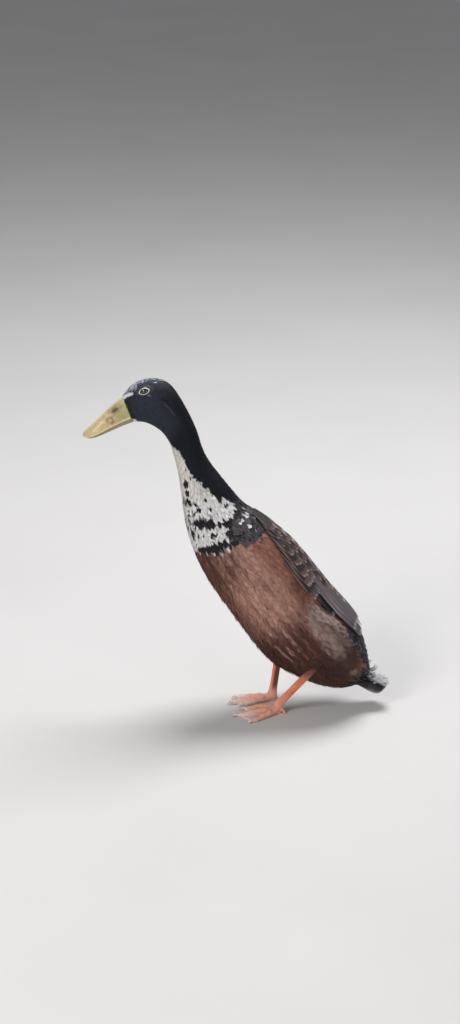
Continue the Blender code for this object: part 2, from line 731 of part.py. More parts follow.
def toe_line(root, turn, length, lift=0.0):
    """Points and radii of a toe that leaves its root and lies along the floor."""
    ahead = Vector((-math.cos(turn), -math.sin(turn), 0.0))
    line, radii = [], []
    for share in TOE_STATIONS:
        radius = TOE_ROOT_RADIUS + (TOE_TIP_RADIUS - TOE_ROOT_RADIUS) * share
        if share in TOE_JOINTS:
            radius *= 1.16
        rest = radius - SOLE_SINK
        drop = min(share / 0.28, 1.0)
        height = root.z + (rest - root.z) * (1 - (1 - drop) ** 2)
        height += lift * math.sin(math.pi * max(share - 0.28, 0.0) / 0.72) ** 2
        place = root + ahead * (length * share)
        line.append(Vector((place.x, place.y, height)))
        radii.append(radius)
    return line, radii, ahead


def toe_tube(name, line, radii):
    rings = []
    for i, (point, radius) in enumerate(zip(line, radii)):
        axis = (line[min(i + 1, len(line) - 1)] - line[max(i - 1, 0)]).normalized()
        rings.append(limb_ring_any(point, axis, radius, radius, TOE_SIDES))
    return loft_object(name, rings)


def limb_ring_any(centre, axis, half_up, half_side, sides):
    """An ellipse round an axis that runs in any direction along the floor."""
    across = axis.cross(Vector((0.0, 0.0, 1.0))).normalized()
    up = across.cross(axis).normalized()
    ring = []
    for i in range(sides):
        turn = 2 * math.pi * i / sides
        ring.append(centre + up * (half_up * math.cos(turn)) + across * (half_side * math.sin(turn)))
    return ring


def claw(name, start, ahead, radius):
    """A short claw that curves down from the end of a toe."""
    rings = []
    for share, size in ((-0.25, 0.9), (0.15, 0.78), (0.6, 0.5)):
        point = start + ahead * (CLAW_LENGTH * share)
        point = point + Vector((0.0, 0.0, 0.5 - 1.2 * share * share))
        rings.append(limb_ring_any(point, ahead, radius * size, radius * size * 0.85, TOE_SIDES))
    tip = start + ahead * CLAW_LENGTH
    rings.append([Vector((tip.x, tip.y, 0.4))])
    return loft_object(name, rings)


def web(name, near_toe, far_toe):
    """The skin between two toes, a thin sheet with a hollowed front edge."""
    rows = []
    for i in range(WEB_STEPS + 1):
        share = 0.10 + (WEB_REACH - 0.10) * i / WEB_STEPS
        row = []
        for j in range(WEB_STEPS + 1):
            across = j / WEB_STEPS
            hollow = 1.0 - WEB_SCALLOP * math.sin(math.pi * across) * share**3
            a = line_point(near_toe, share * hollow)
            b = line_point(far_toe, share * hollow)
            point = a + (b - a) * across
            sag = 1.0 - 0.8 * math.sin(math.pi * across) ** 2
            low = WEB_THICKNESS / 2 - SOLE_SINK / 2
            row.append(Vector((point.x, point.y, low + max(point.z - low, 0.0) * sag * 0.6)))
        rows.append(row)
    bm = bmesh.new()
    for row_a, row_b in zip(rows, rows[1:]):
        for j in range(WEB_STEPS):
            corners = (row_a[j], row_a[j + 1], row_b[j + 1], row_b[j])
            bm.faces.new([bm.verts.new(point) for point in corners])
    bmesh.ops.remove_doubles(bm, verts=bm.verts, dist=0.001)
    bmesh.ops.triangulate(bm, faces=bm.faces, quad_method="FIXED")
    bmesh.ops.recalc_face_normals(bm, faces=bm.faces)
    half = WEB_THICKNESS / 2
    top = bmesh.ops.duplicate(bm, geom=bm.verts[:] + bm.edges[:] + bm.faces[:])
    upper = [item for item in top["geom"] if isinstance(item, bmesh.types.BMVert)]
    lower = [vert for vert in bm.verts if vert not in set(upper)]
    bmesh.ops.translate(bm, verts=upper, vec=(0.0, 0.0, half))
    bmesh.ops.translate(bm, verts=lower, vec=(0.0, 0.0, -half))
    rim = [edge for edge in bm.edges if edge.is_boundary]
    bmesh.ops.bridge_loops(bm, edges=rim)
    bmesh.ops.recalc_face_normals(bm, faces=bm.faces)
    return object_of(bm, name)


def line_point(line, share):
    place = share * (len(line) - 1)
    index = min(int(place), len(line) - 2)
    return line[index].lerp(line[index + 1], place - index)


def even_line(line, steps=12):
    """The same line with its points spread evenly along it."""
    lengths = [0.0]
    for a, b in zip(line, line[1:]):
        lengths.append(lengths[-1] + (b - a).length)
    found = []
    for i in range(steps + 1):
        want = lengths[-1] * i / steps
        k = max(j for j in range(len(line) - 1) if lengths[j] <= want + 1e-9)
        part = (want - lengths[k]) / (lengths[k + 1] - lengths[k])
        found.append(line[k].lerp(line[k + 1], min(part, 1.0)))
    return found


def make_foot(which, materials):
    """Ankle, three webbed toes with claws and the small hind toe, with a flat sole."""
    side, (_, hock, ankle), heading = leg_points(which)
    turn_scale = RIGHT_TOE_TURN if which == "right" else 1.0
    down = (ankle - hock).normalized()
    face = ankle - down * 4.5
    floor_down = Vector((0.0, 0.0, -1.0))
    pad = Vector((ankle.x - 1.5, ankle.y, 0.0))
    knuckle = [
        limb_ring(face, down, *SHANK_HALF[-1], LEG_SIDES),
        limb_ring(ankle - down * 1.0, down, 6.4, 5.2, LEG_SIDES),
        limb_ring(pad - floor_down * 3.4, (down + floor_down).normalized(), 6.6, 5.2, LEG_SIDES),
        limb_ring(pad + floor_down * SOLE_SINK, floor_down, *PAD_HALF, LEG_SIDES),
    ]
    foot = loft_object(f"foot_{which}", knuckle)
    lines, parts = {}, []
    for toe, (length, spread) in TOES.items():
        turn = math.radians(heading + spread * turn_scale) * -side
        root = ankle + Vector((0.0, 0.0, -2.6))
        line, radii, ahead = toe_line(root, turn, length)
        parts.append(toe_tube(f"{toe} toe", line, radii))
        parts.append(claw(f"{toe} claw", line[-1], ahead, radii[-1]))
        lines[toe] = even_line(line)
    parts.append(web("inner web", lines["inner"], lines["middle"]))
    parts.append(web("outer web", lines["middle"], lines["outer"]))
    back = math.radians(heading - 12.0) * -side
    behind = Vector((math.cos(back), math.sin(back), 0.0))
    start = ankle + behind * 1.0 + Vector((0.0, 0.0, -1.0))
    hind_line = []
    for i, radius in enumerate(HIND_TOE_RADII):
        share = i / (len(HIND_TOE_RADII) - 1)
        height = start.z + (radius - SOLE_SINK - start.z) * share
        hind_line.append(start + behind * (HIND_TOE_LENGTH * share))
        hind_line[-1].z = height
    parts.append(toe_tube("hind toe", hind_line, HIND_TOE_RADII))
    combine(foot, parts, "UNION")
    plane_cut(foot, (0.0, 0.0, 0.0), (0.0, 0.0, -1.0))
    return shade(keep_largest(foot), materials["leg"])


def centre_over_origin(pieces):
    """Moves every mesh so that the origin lies under the middle of the whole bird."""
    corners = [vert.co for piece in pieces for vert in piece.data.vertices]
    middle_x = (min(c.x for c in corners) + max(c.x for c in corners)) / 2
    middle_y = (min(c.y for c in corners) + max(c.y for c in corners)) / 2
    shift = Matrix.Translation((-middle_x, -middle_y, 0.0))
    for piece in pieces:
        piece.data.transform(shift)
    print(f"moved by {-middle_x * 1000:.3f}, {-middle_y * 1000:.3f} mm")


def main():
    clear_scene()
    model = bpy.data.collections.new("Indian runner drake")
    bpy.context.scene.collection.children.link(model)
    materials = make_materials()
    make_head(materials)
    make_eyes(materials)
    make_bill(materials)
    upper = body_length("neck_upper", HEAD_END, NECK_SPLIT, None, GAP)
    shade(upper, materials["dark feather"])
    lower = body_length("neck_lower", NECK_SPLIT, NECK_END, None, GAP)
    shade(lower, materials["mottled feather"])
    torso = body_length("torso", NECK_END, TORSO_END, None, GAP)
    shade(torso, materials["chestnut feather"])
    make_wing("wing_left", LEFT, materials)
    make_wing("wing_right", RIGHT, materials)
    make_tail(materials)
    for which in LEGS:
        make_thigh(which, materials)
        make_leg(which, materials)
        make_foot(which, materials)
    centre_over_origin(list(model.objects))


main()
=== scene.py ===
# %% [markdown]
# # An Indian runner drake, life-size and still
#
# The bird leans forward on two webbed feet. Its outline, its joints and its places all come
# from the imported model, which is loaded here as a fixed frame. This script dresses it: one
# skin, a coat of small feathers, the folded wings, the tail, the bill, the eyes and the feet.
#
# Places are worked out in millimetres in the bird's own frame (it faces -X, its left side is
# at -Y, +Z is up) and are turned into metres in the model's frame when a mesh is written.


import math

import bmesh
import bpy
import numpy as np
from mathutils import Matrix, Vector
from mathutils.kdtree import KDTree


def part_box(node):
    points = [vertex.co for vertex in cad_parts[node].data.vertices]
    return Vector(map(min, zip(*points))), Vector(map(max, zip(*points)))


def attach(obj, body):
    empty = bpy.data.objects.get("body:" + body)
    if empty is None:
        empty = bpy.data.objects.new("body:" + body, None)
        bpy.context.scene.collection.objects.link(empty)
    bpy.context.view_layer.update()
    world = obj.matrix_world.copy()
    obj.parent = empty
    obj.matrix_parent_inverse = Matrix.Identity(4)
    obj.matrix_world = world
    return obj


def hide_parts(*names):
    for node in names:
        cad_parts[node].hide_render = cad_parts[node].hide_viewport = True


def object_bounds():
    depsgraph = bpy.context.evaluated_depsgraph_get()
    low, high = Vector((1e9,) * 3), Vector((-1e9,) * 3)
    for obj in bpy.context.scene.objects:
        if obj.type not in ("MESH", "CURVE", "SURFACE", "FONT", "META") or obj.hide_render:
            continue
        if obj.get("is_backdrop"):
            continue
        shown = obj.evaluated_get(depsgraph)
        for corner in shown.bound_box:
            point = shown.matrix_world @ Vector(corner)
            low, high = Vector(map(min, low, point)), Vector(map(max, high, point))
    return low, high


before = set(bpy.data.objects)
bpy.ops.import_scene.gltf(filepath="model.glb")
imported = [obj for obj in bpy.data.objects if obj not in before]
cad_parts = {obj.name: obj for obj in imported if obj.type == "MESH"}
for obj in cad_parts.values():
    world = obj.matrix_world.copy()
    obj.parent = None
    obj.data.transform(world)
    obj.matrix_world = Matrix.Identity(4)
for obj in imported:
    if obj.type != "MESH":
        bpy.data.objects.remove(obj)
CAD_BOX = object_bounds()
MM = 0.001
SEED = 41
LEFT, RIGHT = 1, -1
EYE_PLACE = np.array((-115.0, -12.4, 440.2))
eye_low, eye_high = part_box("eye_left")
SHIFT = np.array((eye_low + eye_high) / 2) - EYE_PLACE * MM
print("nodes:", sorted(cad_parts))
print("the bird's frame is moved by", np.round(SHIFT * 1000, 3), "mm")


def to_model(points):
    """Millimetres in the bird's frame to metres in the model's."""
    return np.asarray(points, float) * MM + SHIFT


# %% [markdown]
# ## Camera, floor and light
#
# The photo was taken from the bird's left, a little above it. A long lens keeps the legs and
# the head in the same proportion as there. The light is soft and comes from above and behind,
# which draws the pale edge along the back, with a broad fill from the camera's side.


# %% Camera
LENS, SENSOR = 85.0, 36.0
CAMERA_PLACE = (-0.0066836, -2.95621751, 1.331085)  # metres, in the bird's own frame
CAMERA_DIP = 19.7  # degrees below level
camera_data = bpy.data.cameras.new("museum camera")
camera_data.lens, camera_data.sensor_width = LENS, SENSOR
camera = bpy.data.objects.new("museum camera", camera_data)
camera.location = Vector(CAMERA_PLACE) + Vector(SHIFT)
camera.rotation_euler = (math.radians(90.0 - CAMERA_DIP), 0.0, 0.0)
bpy.context.scene.collection.objects.link(camera)
bpy.context.scene.camera = camera
print(f"camera: {LENS:.0f} mm lens, {-CAMERA_PLACE[1]:.2f} m to the bird's left")


# %% Lights
# Each light: its place, what it points at, its size in metres, its watts and its tint.
LIGHTS = {
    "sky light": ((0.5, 0.9, 2.6), (0.0, 0.0, 0.2), 1.3, 84.0, (0.98, 0.98, 1.0)),
    "front light": ((-1.6, -2.0, 2.0), (0.0, 0.0, 0.2), 1.2, 46.0, (1.0, 0.99, 0.97)),
    "low fill": ((1.5, -2.0, 0.6), (0.0, 0.0, 0.15), 1.4, 9.0, (1.0, 0.98, 0.96)),
    "leg light": ((-0.9, -1.7, 0.42), (0.06, 0.0, 0.05), 0.8, 7.5, (1.0, 0.97, 0.93)),
}
AMBIENT_TINT, AMBIENT = (0.90, 0.92, 0.96, 1.0), 0.30


def add_soft_light(name, place, aim, size, power, tint):
    data = bpy.data.lights.new(name, "AREA")
    data.shape = "DISK"
    data.size = size
    data.energy = power
    data.color = tint
    lamp = bpy.data.objects.new(name, data)
    lamp.location = place
    lamp.rotation_euler = (Vector(aim) - Vector(place)).to_track_quat("-Z", "Y").to_euler()
    bpy.context.scene.collection.objects.link(lamp)


for name, choices in LIGHTS.items():
    add_soft_light(name, *choices)
world = bpy.data.worlds.new("studio")
world.use_nodes = True
ambient = world.node_tree.nodes["Background"].inputs
ambient["Color"].default_value, ambient["Strength"].default_value = AMBIENT_TINT, AMBIENT
bpy.context.scene.world = world
bpy.context.scene.view_settings.view_transform = "Standard"
print("lights:", ", ".join(LIGHTS))


# %% [markdown]
# ## Small tools for materials
#
# A material here is a chain of small nodes. These helpers add one node each and wire it, so
# that a marking can be written as a line of arithmetic: a mask is a number from 0 to 1, and a
# colour is laid over another one by a mask.


# %% Signals
class Signal:
    """A node's output that can be written in arithmetic: each operator adds a Math node."""

    def __init__(self, bench, socket):
        self.bench, self.socket = bench, socket

    def __add__(self, other):
        return self.bench.math("ADD", self, other)

    def __sub__(self, other):
        return self.bench.math("SUBTRACT", self, other)

    def __rsub__(self, other):
        return self.bench.math("SUBTRACT", other, self)

    def __mul__(self, other):
        return self.bench.math("MULTIPLY", self, other)

    def __truediv__(self, other):
        return self.bench.math("DIVIDE", self, other)

    def __abs__(self):
        return self.bench.math("ABSOLUTE", self)

    __radd__, __rmul__ = __add__, __mul__


# %% The bench
class Bench:
    """A node tree being wired: each call adds one node and returns its output as a Signal."""

    def __init__(self, tree):
        self.tree = tree

    def add(self, kind, **settings):
        node = self.tree.nodes.new(kind)
        for key, value in settings.items():
            setattr(node, key, value)
        return node

    def plug(self, socket, value):
        value = value.socket if isinstance(value, Signal) else value
        if isinstance(value, bpy.types.NodeSocket):
            self.tree.links.new(value, socket)
        elif isinstance(value, (tuple, list)) and len(value) == 3 and socket.type == "RGBA":
            socket.default_value = (*value, 1.0)
        else:
            socket.default_value = value

    def wired(self, node, values, output=0):
        """Plugs values into a node's inputs, by number or by name, and returns one output."""
        for key, value in values.items() if isinstance(values, dict) else enumerate(values):
            self.plug(node.inputs[key], value)
        return Signal(self, node.outputs[output])

    def wire(self, shader, **values):
        self.wired(shader, {key.replace("_", " "): value for key, value in values.items()})

    def math(self, operation, *values):
        return self.wired(self.add("ShaderNodeMath", operation=operation), values)

    def rise(self, value, low, high):
        """0 below low, 1 above high and smooth between; low above high turns it round."""
        node = self.add("ShaderNodeMapRange", interpolation_type="SMOOTHSTEP")
        return self.wired(node, (value, low, high, 0.0, 1.0))

    def between(self, value, low, high, soft):
        return self.rise(value, low - soft, low + soft) * self.rise(value, high + soft, high - soft)

    def near(self, across, along, centre, halves, soft=0.35):
        """1 inside an ellipse on two numbers, falling to 0 over its soft rim."""
        dx, dy = (across - centre[0]) / halves[0], (along - centre[1]) / halves[1]
        return self.rise(dx * dx + dy * dy, 1.0 + soft, 1.0 - soft)

    def slanted(self, across, along, centre, halves, slope, soft=0.35):
        """The same as near, with the ellipse's length at a slope in radians."""
        dx, dy = across - centre[0], along - centre[1]
        cos, sin = math.cos(slope), math.sin(slope)
        return self.near(dx * cos + dy * sin, dy * cos - dx * sin, (0.0, 0.0), halves, soft)

    def mix(self, mask, under, over, blend="MIX"):
        node = self.add("ShaderNodeMix", data_type="RGBA", blend_type=blend)
        return self.wired(node, {0: mask, 6: under, 7: over}, 2)

    def tinted(self, colour, tint):
        return self.mix(1.0, colour, tint, "MULTIPLY")

    def layers(self, colour, *coats):
        """Lays colours over a first one, each given as a mask and a colour."""
        for mask, over in coats:
            colour = self.mix(mask, colour, over)
        return colour

    def noise(self, vector, scale, detail=2.0, roughness=0.5):
        values = {"Vector": vector, "Scale": scale, "Detail": detail, "Roughness": roughness}
        return self.wired(self.add("ShaderNodeTexNoise"), values, "Fac")

    def parts(self, vector):
        node = self.add("ShaderNodeSeparateXYZ")
        self.plug(node.inputs[0], vector)
        return [Signal(self, output) for output in node.outputs]

    def joined(self, *parts):
        return self.wired(self.add("ShaderNodeCombineXYZ"), parts)

    def ramp(self, value, stops):
        node = self.add("ShaderNodeValToRGB")
        ramp = node.color_ramp
        while len(ramp.elements) < len(stops):
            ramp.elements.new(0.5)
        for element, (at, colour) in zip(ramp.elements, stops):
            element.position = at
            element.color = (*colour, 1.0) if isinstance(colour, tuple) else (colour,) * 3 + (1,)
        return self.wired(node, (value,))

    def attribute(self, name, output="Vector"):
        return Signal(self, self.add("ShaderNodeAttribute", attribute_name=name).outputs[output])

    def uv(self, name):
        return Signal(self, self.add("ShaderNodeUVMap", uv_map=name).outputs[0])

    def bump(self, height, distance, strength=1.0):
        values = {"Height": height, "Distance": distance, "Strength": strength}
        return self.wired(self.add("ShaderNodeBump"), values)

    def group(self, tree, **values):
        node = self.add("ShaderNodeGroup", node_tree=tree)
        self.wired(node, values)
        return {output.name: Signal(self, output) for output in node.outputs}


# %% Groups and materials
def new_group(name, inputs, outputs):
    """A node group with named sockets: its tree, its bench, what it is given and its results."""
    tree = bpy.data.node_groups.new(name, "ShaderNodeTree")
    for sockets, in_out in ((inputs, "INPUT"), (outputs, "OUTPUT")):
        for label, kind in sockets.items():
            tree.interface.new_socket(label, in_out=in_out, socket_type=kind)
    bench = Bench(tree)
    source = tree.nodes.new("NodeGroupInput").outputs
    sink = tree.nodes.new("NodeGroupOutput").inputs
    return tree, bench, {label: Signal(bench, source[label]) for label in inputs}, sink


def new_material(name, roughness, **sockets):
    """A material with its shader's constants set, and a bench to wire the rest."""
    made = bpy.data.materials.new(name)
    made.use_nodes = True
    shader = made.node_tree.nodes["Principled BSDF"]
    shader.inputs["Roughness"].default_value = roughness
    for key, value in sockets.items():
        shader.inputs[key.replace("_", " ")].default_value = value
    return made, Bench(made.node_tree), shader


VECTOR, NUMBER, COLOUR = "NodeSocketVector", "NodeSocketFloat", "NodeSocketColor"


# %% [markdown]
# ## The floor
#
# A plain pale floor, with a faint unevenness so that it doesn't look like paper.


# %% Floor
FLOOR_HALF = 14.0
floor_finish, bench, shader = new_material("pale floor", 0.85)
blotch = bench.noise(bench.add("ShaderNodeTexCoord").outputs["Object"], 3.0, 4.0)
bench.wire(shader, Base_Color=bench.mix(blotch, (0.50, 0.49, 0.48), (0.56, 0.55, 0.54)))
bm = bmesh.new()
bmesh.ops.create_grid(bm, x_segments=2, y_segments=2, size=FLOOR_HALF)
floor_mesh = bpy.data.meshes.new("floor")
bm.to_mesh(floor_mesh)
bm.free()
floor_mesh.materials.append(floor_finish)
floor = bpy.data.objects.new("floor", floor_mesh)
bpy.context.scene.collection.objects.link(floor)
floor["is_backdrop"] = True
print(f"floor: {2 * FLOOR_HALF:.0f} m across")


# %% [markdown]
# ## The shape under the plumage
#
# The body is one long loft from the face to the tail. Each section is a slanted ring, given
# by where it meets the front and the back line. A place on the body is two numbers: how far
# along it is, in sections, and how far round it is, in turn from the back line. Feathers can
# then be laid by running along those two numbers, and they follow the body by themselves.


# %% Body sections
BODY_SECTIONS = np.array(
    (
        (-130.5, 396.5, -143.5, 430.5, 12.0, 0.05),  # face
        (-117.0, 396.0, -126.5, 446.5, 17.5, 0.10),  # brow
        (-105.5, 391.5, -106.5, 453.5, 20.5, 0.12),  # crown
        (-94.0, 382.5, -84.0, 446.0, 20.5, 0.06),  # occiput
        (-85.5, 370.0, -66.0, 420.0, 19.5, 0.0),  # nape
        (-79.5, 352.0, -50.5, 387.5, 18.5, 0.0),  # upper neck
        (-74.0, 327.0, -38.0, 351.0, 19.0, 0.0),  # mid neck
        (-69.5, 293.0, -15.0, 317.0, 26.0, 0.0),  # low neck
        (-65.5, 262.0, 8.0, 288.0, 34.0, 0.0),  # collar
        (-57.0, 229.0, 29.0, 269.0, 43.0, 0.03),  # shoulder
        (-43.5, 196.0, 49.0, 251.0, 50.0, 0.03),  # breast
        (-24.0, 163.0, 72.0, 229.5, 54.0, 0.02),  # chest
        (-3.0, 132.0, 95.5, 200.5, 56.0, 0.0),  # ribs
        (17.0, 103.0, 118.0, 171.0, 56.5, -0.03),  # waist
        (34.0, 79.5, 135.0, 149.5, 55.5, -0.10),  # flank
        (52.0, 61.0, 149.5, 131.0, 53.0, -0.20),  # loin
        (71.0, 49.5, 160.5, 113.5, 49.0, -0.28),  # hip
        (91.5, 38.5, 167.5, 98.5, 43.5, -0.28),  # vent
        (112.0, 31.0, 172.0, 84.0, 36.5, -0.20),  # rump
        (131.0, 27.0, 175.0, 71.0, 29.0, -0.10),  # tail root
        (147.0, 27.5, 177.0, 59.5, 21.5, 0.0),  # tail base
        (160.0, 31.0, 178.0, 49.5, 13.0, 0.0),  # tail end
    )
)
LAST_PLACE = len(BODY_SECTIONS) - 1
print("sections from the face to the tail:", len(BODY_SECTIONS))


# %% The plain form
ROUNDNESS = 2.0 / 2.15


def smooth_rows(rows, place):
    """Rows of numbers read between the given ones, on a smooth curve through them all."""
    padded = np.vstack([2 * rows[0] - rows[1], rows, 2 * rows[-1] - rows[-2]])
    place = np.asarray(place, float)
    index = np.clip(place.astype(int), 0, len(rows) - 2)
    share = (place - index)[..., None]
    a, b, c, d = (padded[index + k] for k in range(4))
    return (
        b
        + 0.5 * share * (c - a)
        + share**2 * (a - 2.5 * b + 2.0 * c - 0.5 * d)
        + share**3 * (1.5 * b - 0.5 * a - 1.5 * c + 0.5 * d)
    )


def rounded(wave, power):
    """A sine or cosine raised to a power with its sign kept, which squares off a ring."""
    return np.sign(wave) * np.abs(wave) ** power


def body_shape(place, turn):
    """Points of the plain form, in millimetres. A positive turn is the bird's left side."""
    place, turn = np.broadcast_arrays(place, turn)
    fx, fz, bx, bz, half, egg = np.moveaxis(smooth_rows(BODY_SECTIONS, place), -1, 0)
    cos, sin = np.cos(turn), np.sin(turn)
    up = 0.5 * rounded(cos, ROUNDNESS)
    out = rounded(sin, ROUNDNESS) * half * (1.0 - egg * cos)
    return np.stack([(fx + bx) / 2 + (bx - fx) * up, -out, (fz + bz) / 2 + (bz - fz) * up], -1)


def body_steps(place, turn, step=0.02):
    """How the form runs: the vectors along it and round it, per section and per radian."""
    along = body_shape(place + step, turn) - body_shape(place - step, turn)
    around = body_shape(place, turn + step) - body_shape(place, turn - step)
    return along / (2 * step), around / (2 * step)


def unit(vectors):
    return vectors / np.maximum(np.linalg.norm(vectors, axis=-1, keepdims=True), 1e-9)


# %% The plumage's surface
# Each swell of the soft plumage: its height in millimetres, its place and half size along the
# body, and its share and half size round it.
SWELLS = {
    "flank": (4.2, 14.3, 0.95, 0.33, 0.085),
    "cheek": (0.9, 2.4, 0.9, 0.56, 0.14),
    "forehead": (1.7, 0.75, 0.75, 0.0, 0.26),
    "orbit": (-1.3, 0.9, 0.55, 0.42, 0.10),
}


def swelling(place, turn):
    """How far the soft plumage swells past the plain form, in millimetres."""
    share = np.abs(turn) / math.pi
    swell = 0.0
    for height, middle, half_length, turned, half_turn in SWELLS.values():
        down, aside = (place - middle) / half_length, (share - turned) / half_turn
        swell = swell + height * np.exp(-(down**2) - aside**2)
    return swell


def body_on(place, turn, height):
    """Points at a height over the plumage's outer surface, in millimetres."""
    along, around = body_steps(place, turn)
    normal = unit(np.cross(around, along))
    lift = np.asarray(height + swelling(place, turn))
    return body_shape(place, turn) + normal * lift[..., None]


low, high = body_on(12.0, math.pi / 2, np.array((0.0, 1.0)))
print("a lift of 1 mm on the left side moves a point by", np.round(high - low, 3))


DEPTH_PLACES = (0.0, 2.0, 4.0, 8.0, 11.0, 19.0, 21.0)
DEPTHS = (0.7, 0.9, 1.3, 2.2, 2.8, 2.8, 1.8)


def coat_depth(place):
    """How deep the skin lies under the tips of the feathers, in millimetres."""
    return np.interp(place, DEPTH_PLACES, DEPTHS)


# %% [markdown]
# ## Mesh tools
#
# Most pieces are a grid of faces bent onto a curved place. `bmesh.ops.create_grid` gives the
# grid, a function says where each of its points goes, and doubled points along the join are
# merged so that a tube closes. The grid's own two numbers are kept as a UV map for patterns.


# %% Pieces and their attributes
def mesh_points(mesh):
    points = np.empty(len(mesh.vertices) * 3)
    mesh.vertices.foreach_get("co", points)
    return points.reshape(-1, 3)


def new_piece(name, bm, finish):
    """Writes a bmesh in bird millimetres as an object at the origin, in metres."""
    mesh = bpy.data.meshes.new(name)
    bm.to_mesh(mesh)
    bm.free()
    mesh.vertices.foreach_set("co", to_model(mesh_points(mesh)).ravel())
    mesh.materials.append(finish)
    mesh.shade_smooth()
    mesh.update()
    piece = bpy.data.objects.new(name, mesh)
    bpy.context.scene.collection.objects.link(piece)
    return piece


def bake_modifiers(piece):
    """Keeps what the modifiers make as the piece's own mesh."""
    graph = bpy.context.evaluated_depsgraph_get()
    finished = bpy.data.meshes.new_from_object(piece.evaluated_get(graph))
    piece.modifiers.clear()
    piece.data = finished
    finished.shade_smooth()
    return finished


def dress(piece, slot, *nodes):
    """Fixes a piece to the bird's one body and hides the nodes it stands for; its slot is not used."""
    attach(piece, "root")
    if nodes:
        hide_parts(*nodes)


def write_numbers(mesh, name, values):
    made = mesh.attributes.new(name, "FLOAT", "POINT")
    made.data.foreach_set("value", np.asarray(values, np.float32))


def write_vectors(mesh, name, vectors):
    made = mesh.attributes.new(name, "FLOAT_VECTOR", "POINT")
    made.data.foreach_set("vector", np.ascontiguousarray(vectors, np.float32).ravel())


def write_bird_places(piece):
    """Stores where each point lies on the bird, in millimetres, for the patterns to read."""
    points = (mesh_points(piece.data) - SHIFT) / MM
    write_vectors(piece.data, "spot", points)
    return points


# %% Bent grids
def face_outwards(bm, faces, outward):
    if sum(face.normal.dot(Vector(outward)) for face in faces) < 0:
        bmesh.ops.reverse_faces(bm, faces=faces)


def bent_grid(bm, steps, place_on, capped=True):
    """Adds a grid of faces laid by place_on(across, along), each 0 to 1, and closes its join."""
    verts = bmesh.ops.create_grid(bm, x_segments=steps[0], y_segments=steps[1], size=0.5)["verts"]
    shares = np.array([vert.co[:2] for vert in verts]) + 0.5
    layer = bm.loops.layers.uv.get("vane") or bm.loops.layers.uv.new("vane")
    faces = list({face for vert in verts for face in vert.link_faces})
    for face in faces:
        for loop in face.loops:
            loop[layer].uv = (loop.vert.co.x + 0.5, loop.vert.co.y + 0.5)
    for vert, point in zip(verts, place_on(shares[:, 0], shares[:, 1])):
        vert.co = point
    bmesh.ops.remove_doubles(bm, verts=verts, dist=1e-4)
    faces = [face for face in faces if face.is_valid]
    if capped:
        rim = {edge for face in faces for edge in face.edges if edge.is_boundary}
        faces += bmesh.ops.holes_fill(bm, edges=list(rim))["faces"]
    bmesh.ops.recalc_face_normals(bm, faces=faces)
    return faces


def tube_rings(centres, axes, deep, wide, up=(0.0, 1.0, 0.0)):
    """place_on for a tube: ellipses round a line of centres, read smoothly between them."""
    rows = np.hstack([centres, axes, np.reshape(deep, (-1, 1)), np.reshape(wide, (-1, 1))])
    up = np.array(up)

    def place_on(round_share, along):
        row = smooth_rows(rows, along * (len(rows) - 1))
        axis = unit(row[:, 3:6])
        across = unit(up - axis * (axis @ up)[:, None])
        ahead = np.cross(across, axis)
        turn = 2 * math.pi * round_share[:, None]
        return row[:, :3] + ahead * row[:, 6:7] * np.cos(turn) + across * row[:, 7:8] * np.sin(turn)

    return place_on


# %% [markdown]
# ## Markings
#
# The drake is black on head and neck, with a white bib, a black-and-white mottled collar, a
# chestnut breast and flanks, a dark vent and a grey-black rump. Skin and coat both read these
# markings, so that nothing pale shows between feathers. A feather hands the group one place,
# a little past its middle, so a whole feather takes one colour and an edge between two
# colours comes out as ragged as the feathers themselves.


# %% Colours of the plumage
SLATE, JET, BROWN_BLACK = (0.024, 0.027, 0.042), (0.0055, 0.0068, 0.0125), (0.016, 0.012, 0.010)
CROWN_SHEEN, BROW_GREY, BILL_EDGE = (0.105, 0.110, 0.135), (0.50, 0.51, 0.58), (0.45, 0.42, 0.28)
CREAM, WHITE, PALE_GREY = (0.68, 0.65, 0.60), (0.66, 0.66, 0.66), (0.26, 0.27, 0.31)
CULMEN_WHITE, BIB_SHADE = (0.72, 0.72, 0.73), (0.40, 0.385, 0.37)
SHOULDER_GREY, SHOULDER_DARK = (0.068, 0.058, 0.067), (0.013, 0.012, 0.015)
RUSSET, RUFOUS, UMBER = (0.130, 0.053, 0.038), (0.215, 0.094, 0.068), (0.050, 0.020, 0.015)
FAWN, VENT_BROWN, UNDER_BROWN = (0.37, 0.210, 0.165), (0.036, 0.019, 0.018), (0.12, 0.078, 0.062)
FLANK_BROWN, FLANK_GREY = (0.185, 0.118, 0.104), (0.262, 0.185, 0.172)
VENT_SPOT, BACK_BROWN = (0.34, 0.27, 0.24), (0.045, 0.034, 0.033)
RUMP_BLACK, RUMP_GREY = (0.009, 0.008, 0.011), (0.060, 0.052, 0.062)


# %% What the markings read
markings, bench, given, result = new_group(
    "plumage markings", {"Spot": VECTOR, "Lie": VECTOR}, {"Colour": COLOUR, "Scaly": NUMBER}
)
spot = given["Spot"]
along, share, chance = bench.parts(given["Lie"])
mottle, fine, patches = bench.noise(spot, 0.085), bench.noise(spot, 0.26), bench.noise(spot, 0.030, 1.0)
streaks = bench.noise(bench.joined(along * 0.55, share * 34.0, 3.0), 1.0, 2.0, 0.55)
wobble, fray = mottle - 0.5, fine - 0.5


def field(centre, halves, soft, turned=share):
    """A soft ellipse on the body: its place and share of a half turn, and half sizes of both."""
    return bench.near(along, turned, centre, halves, soft)


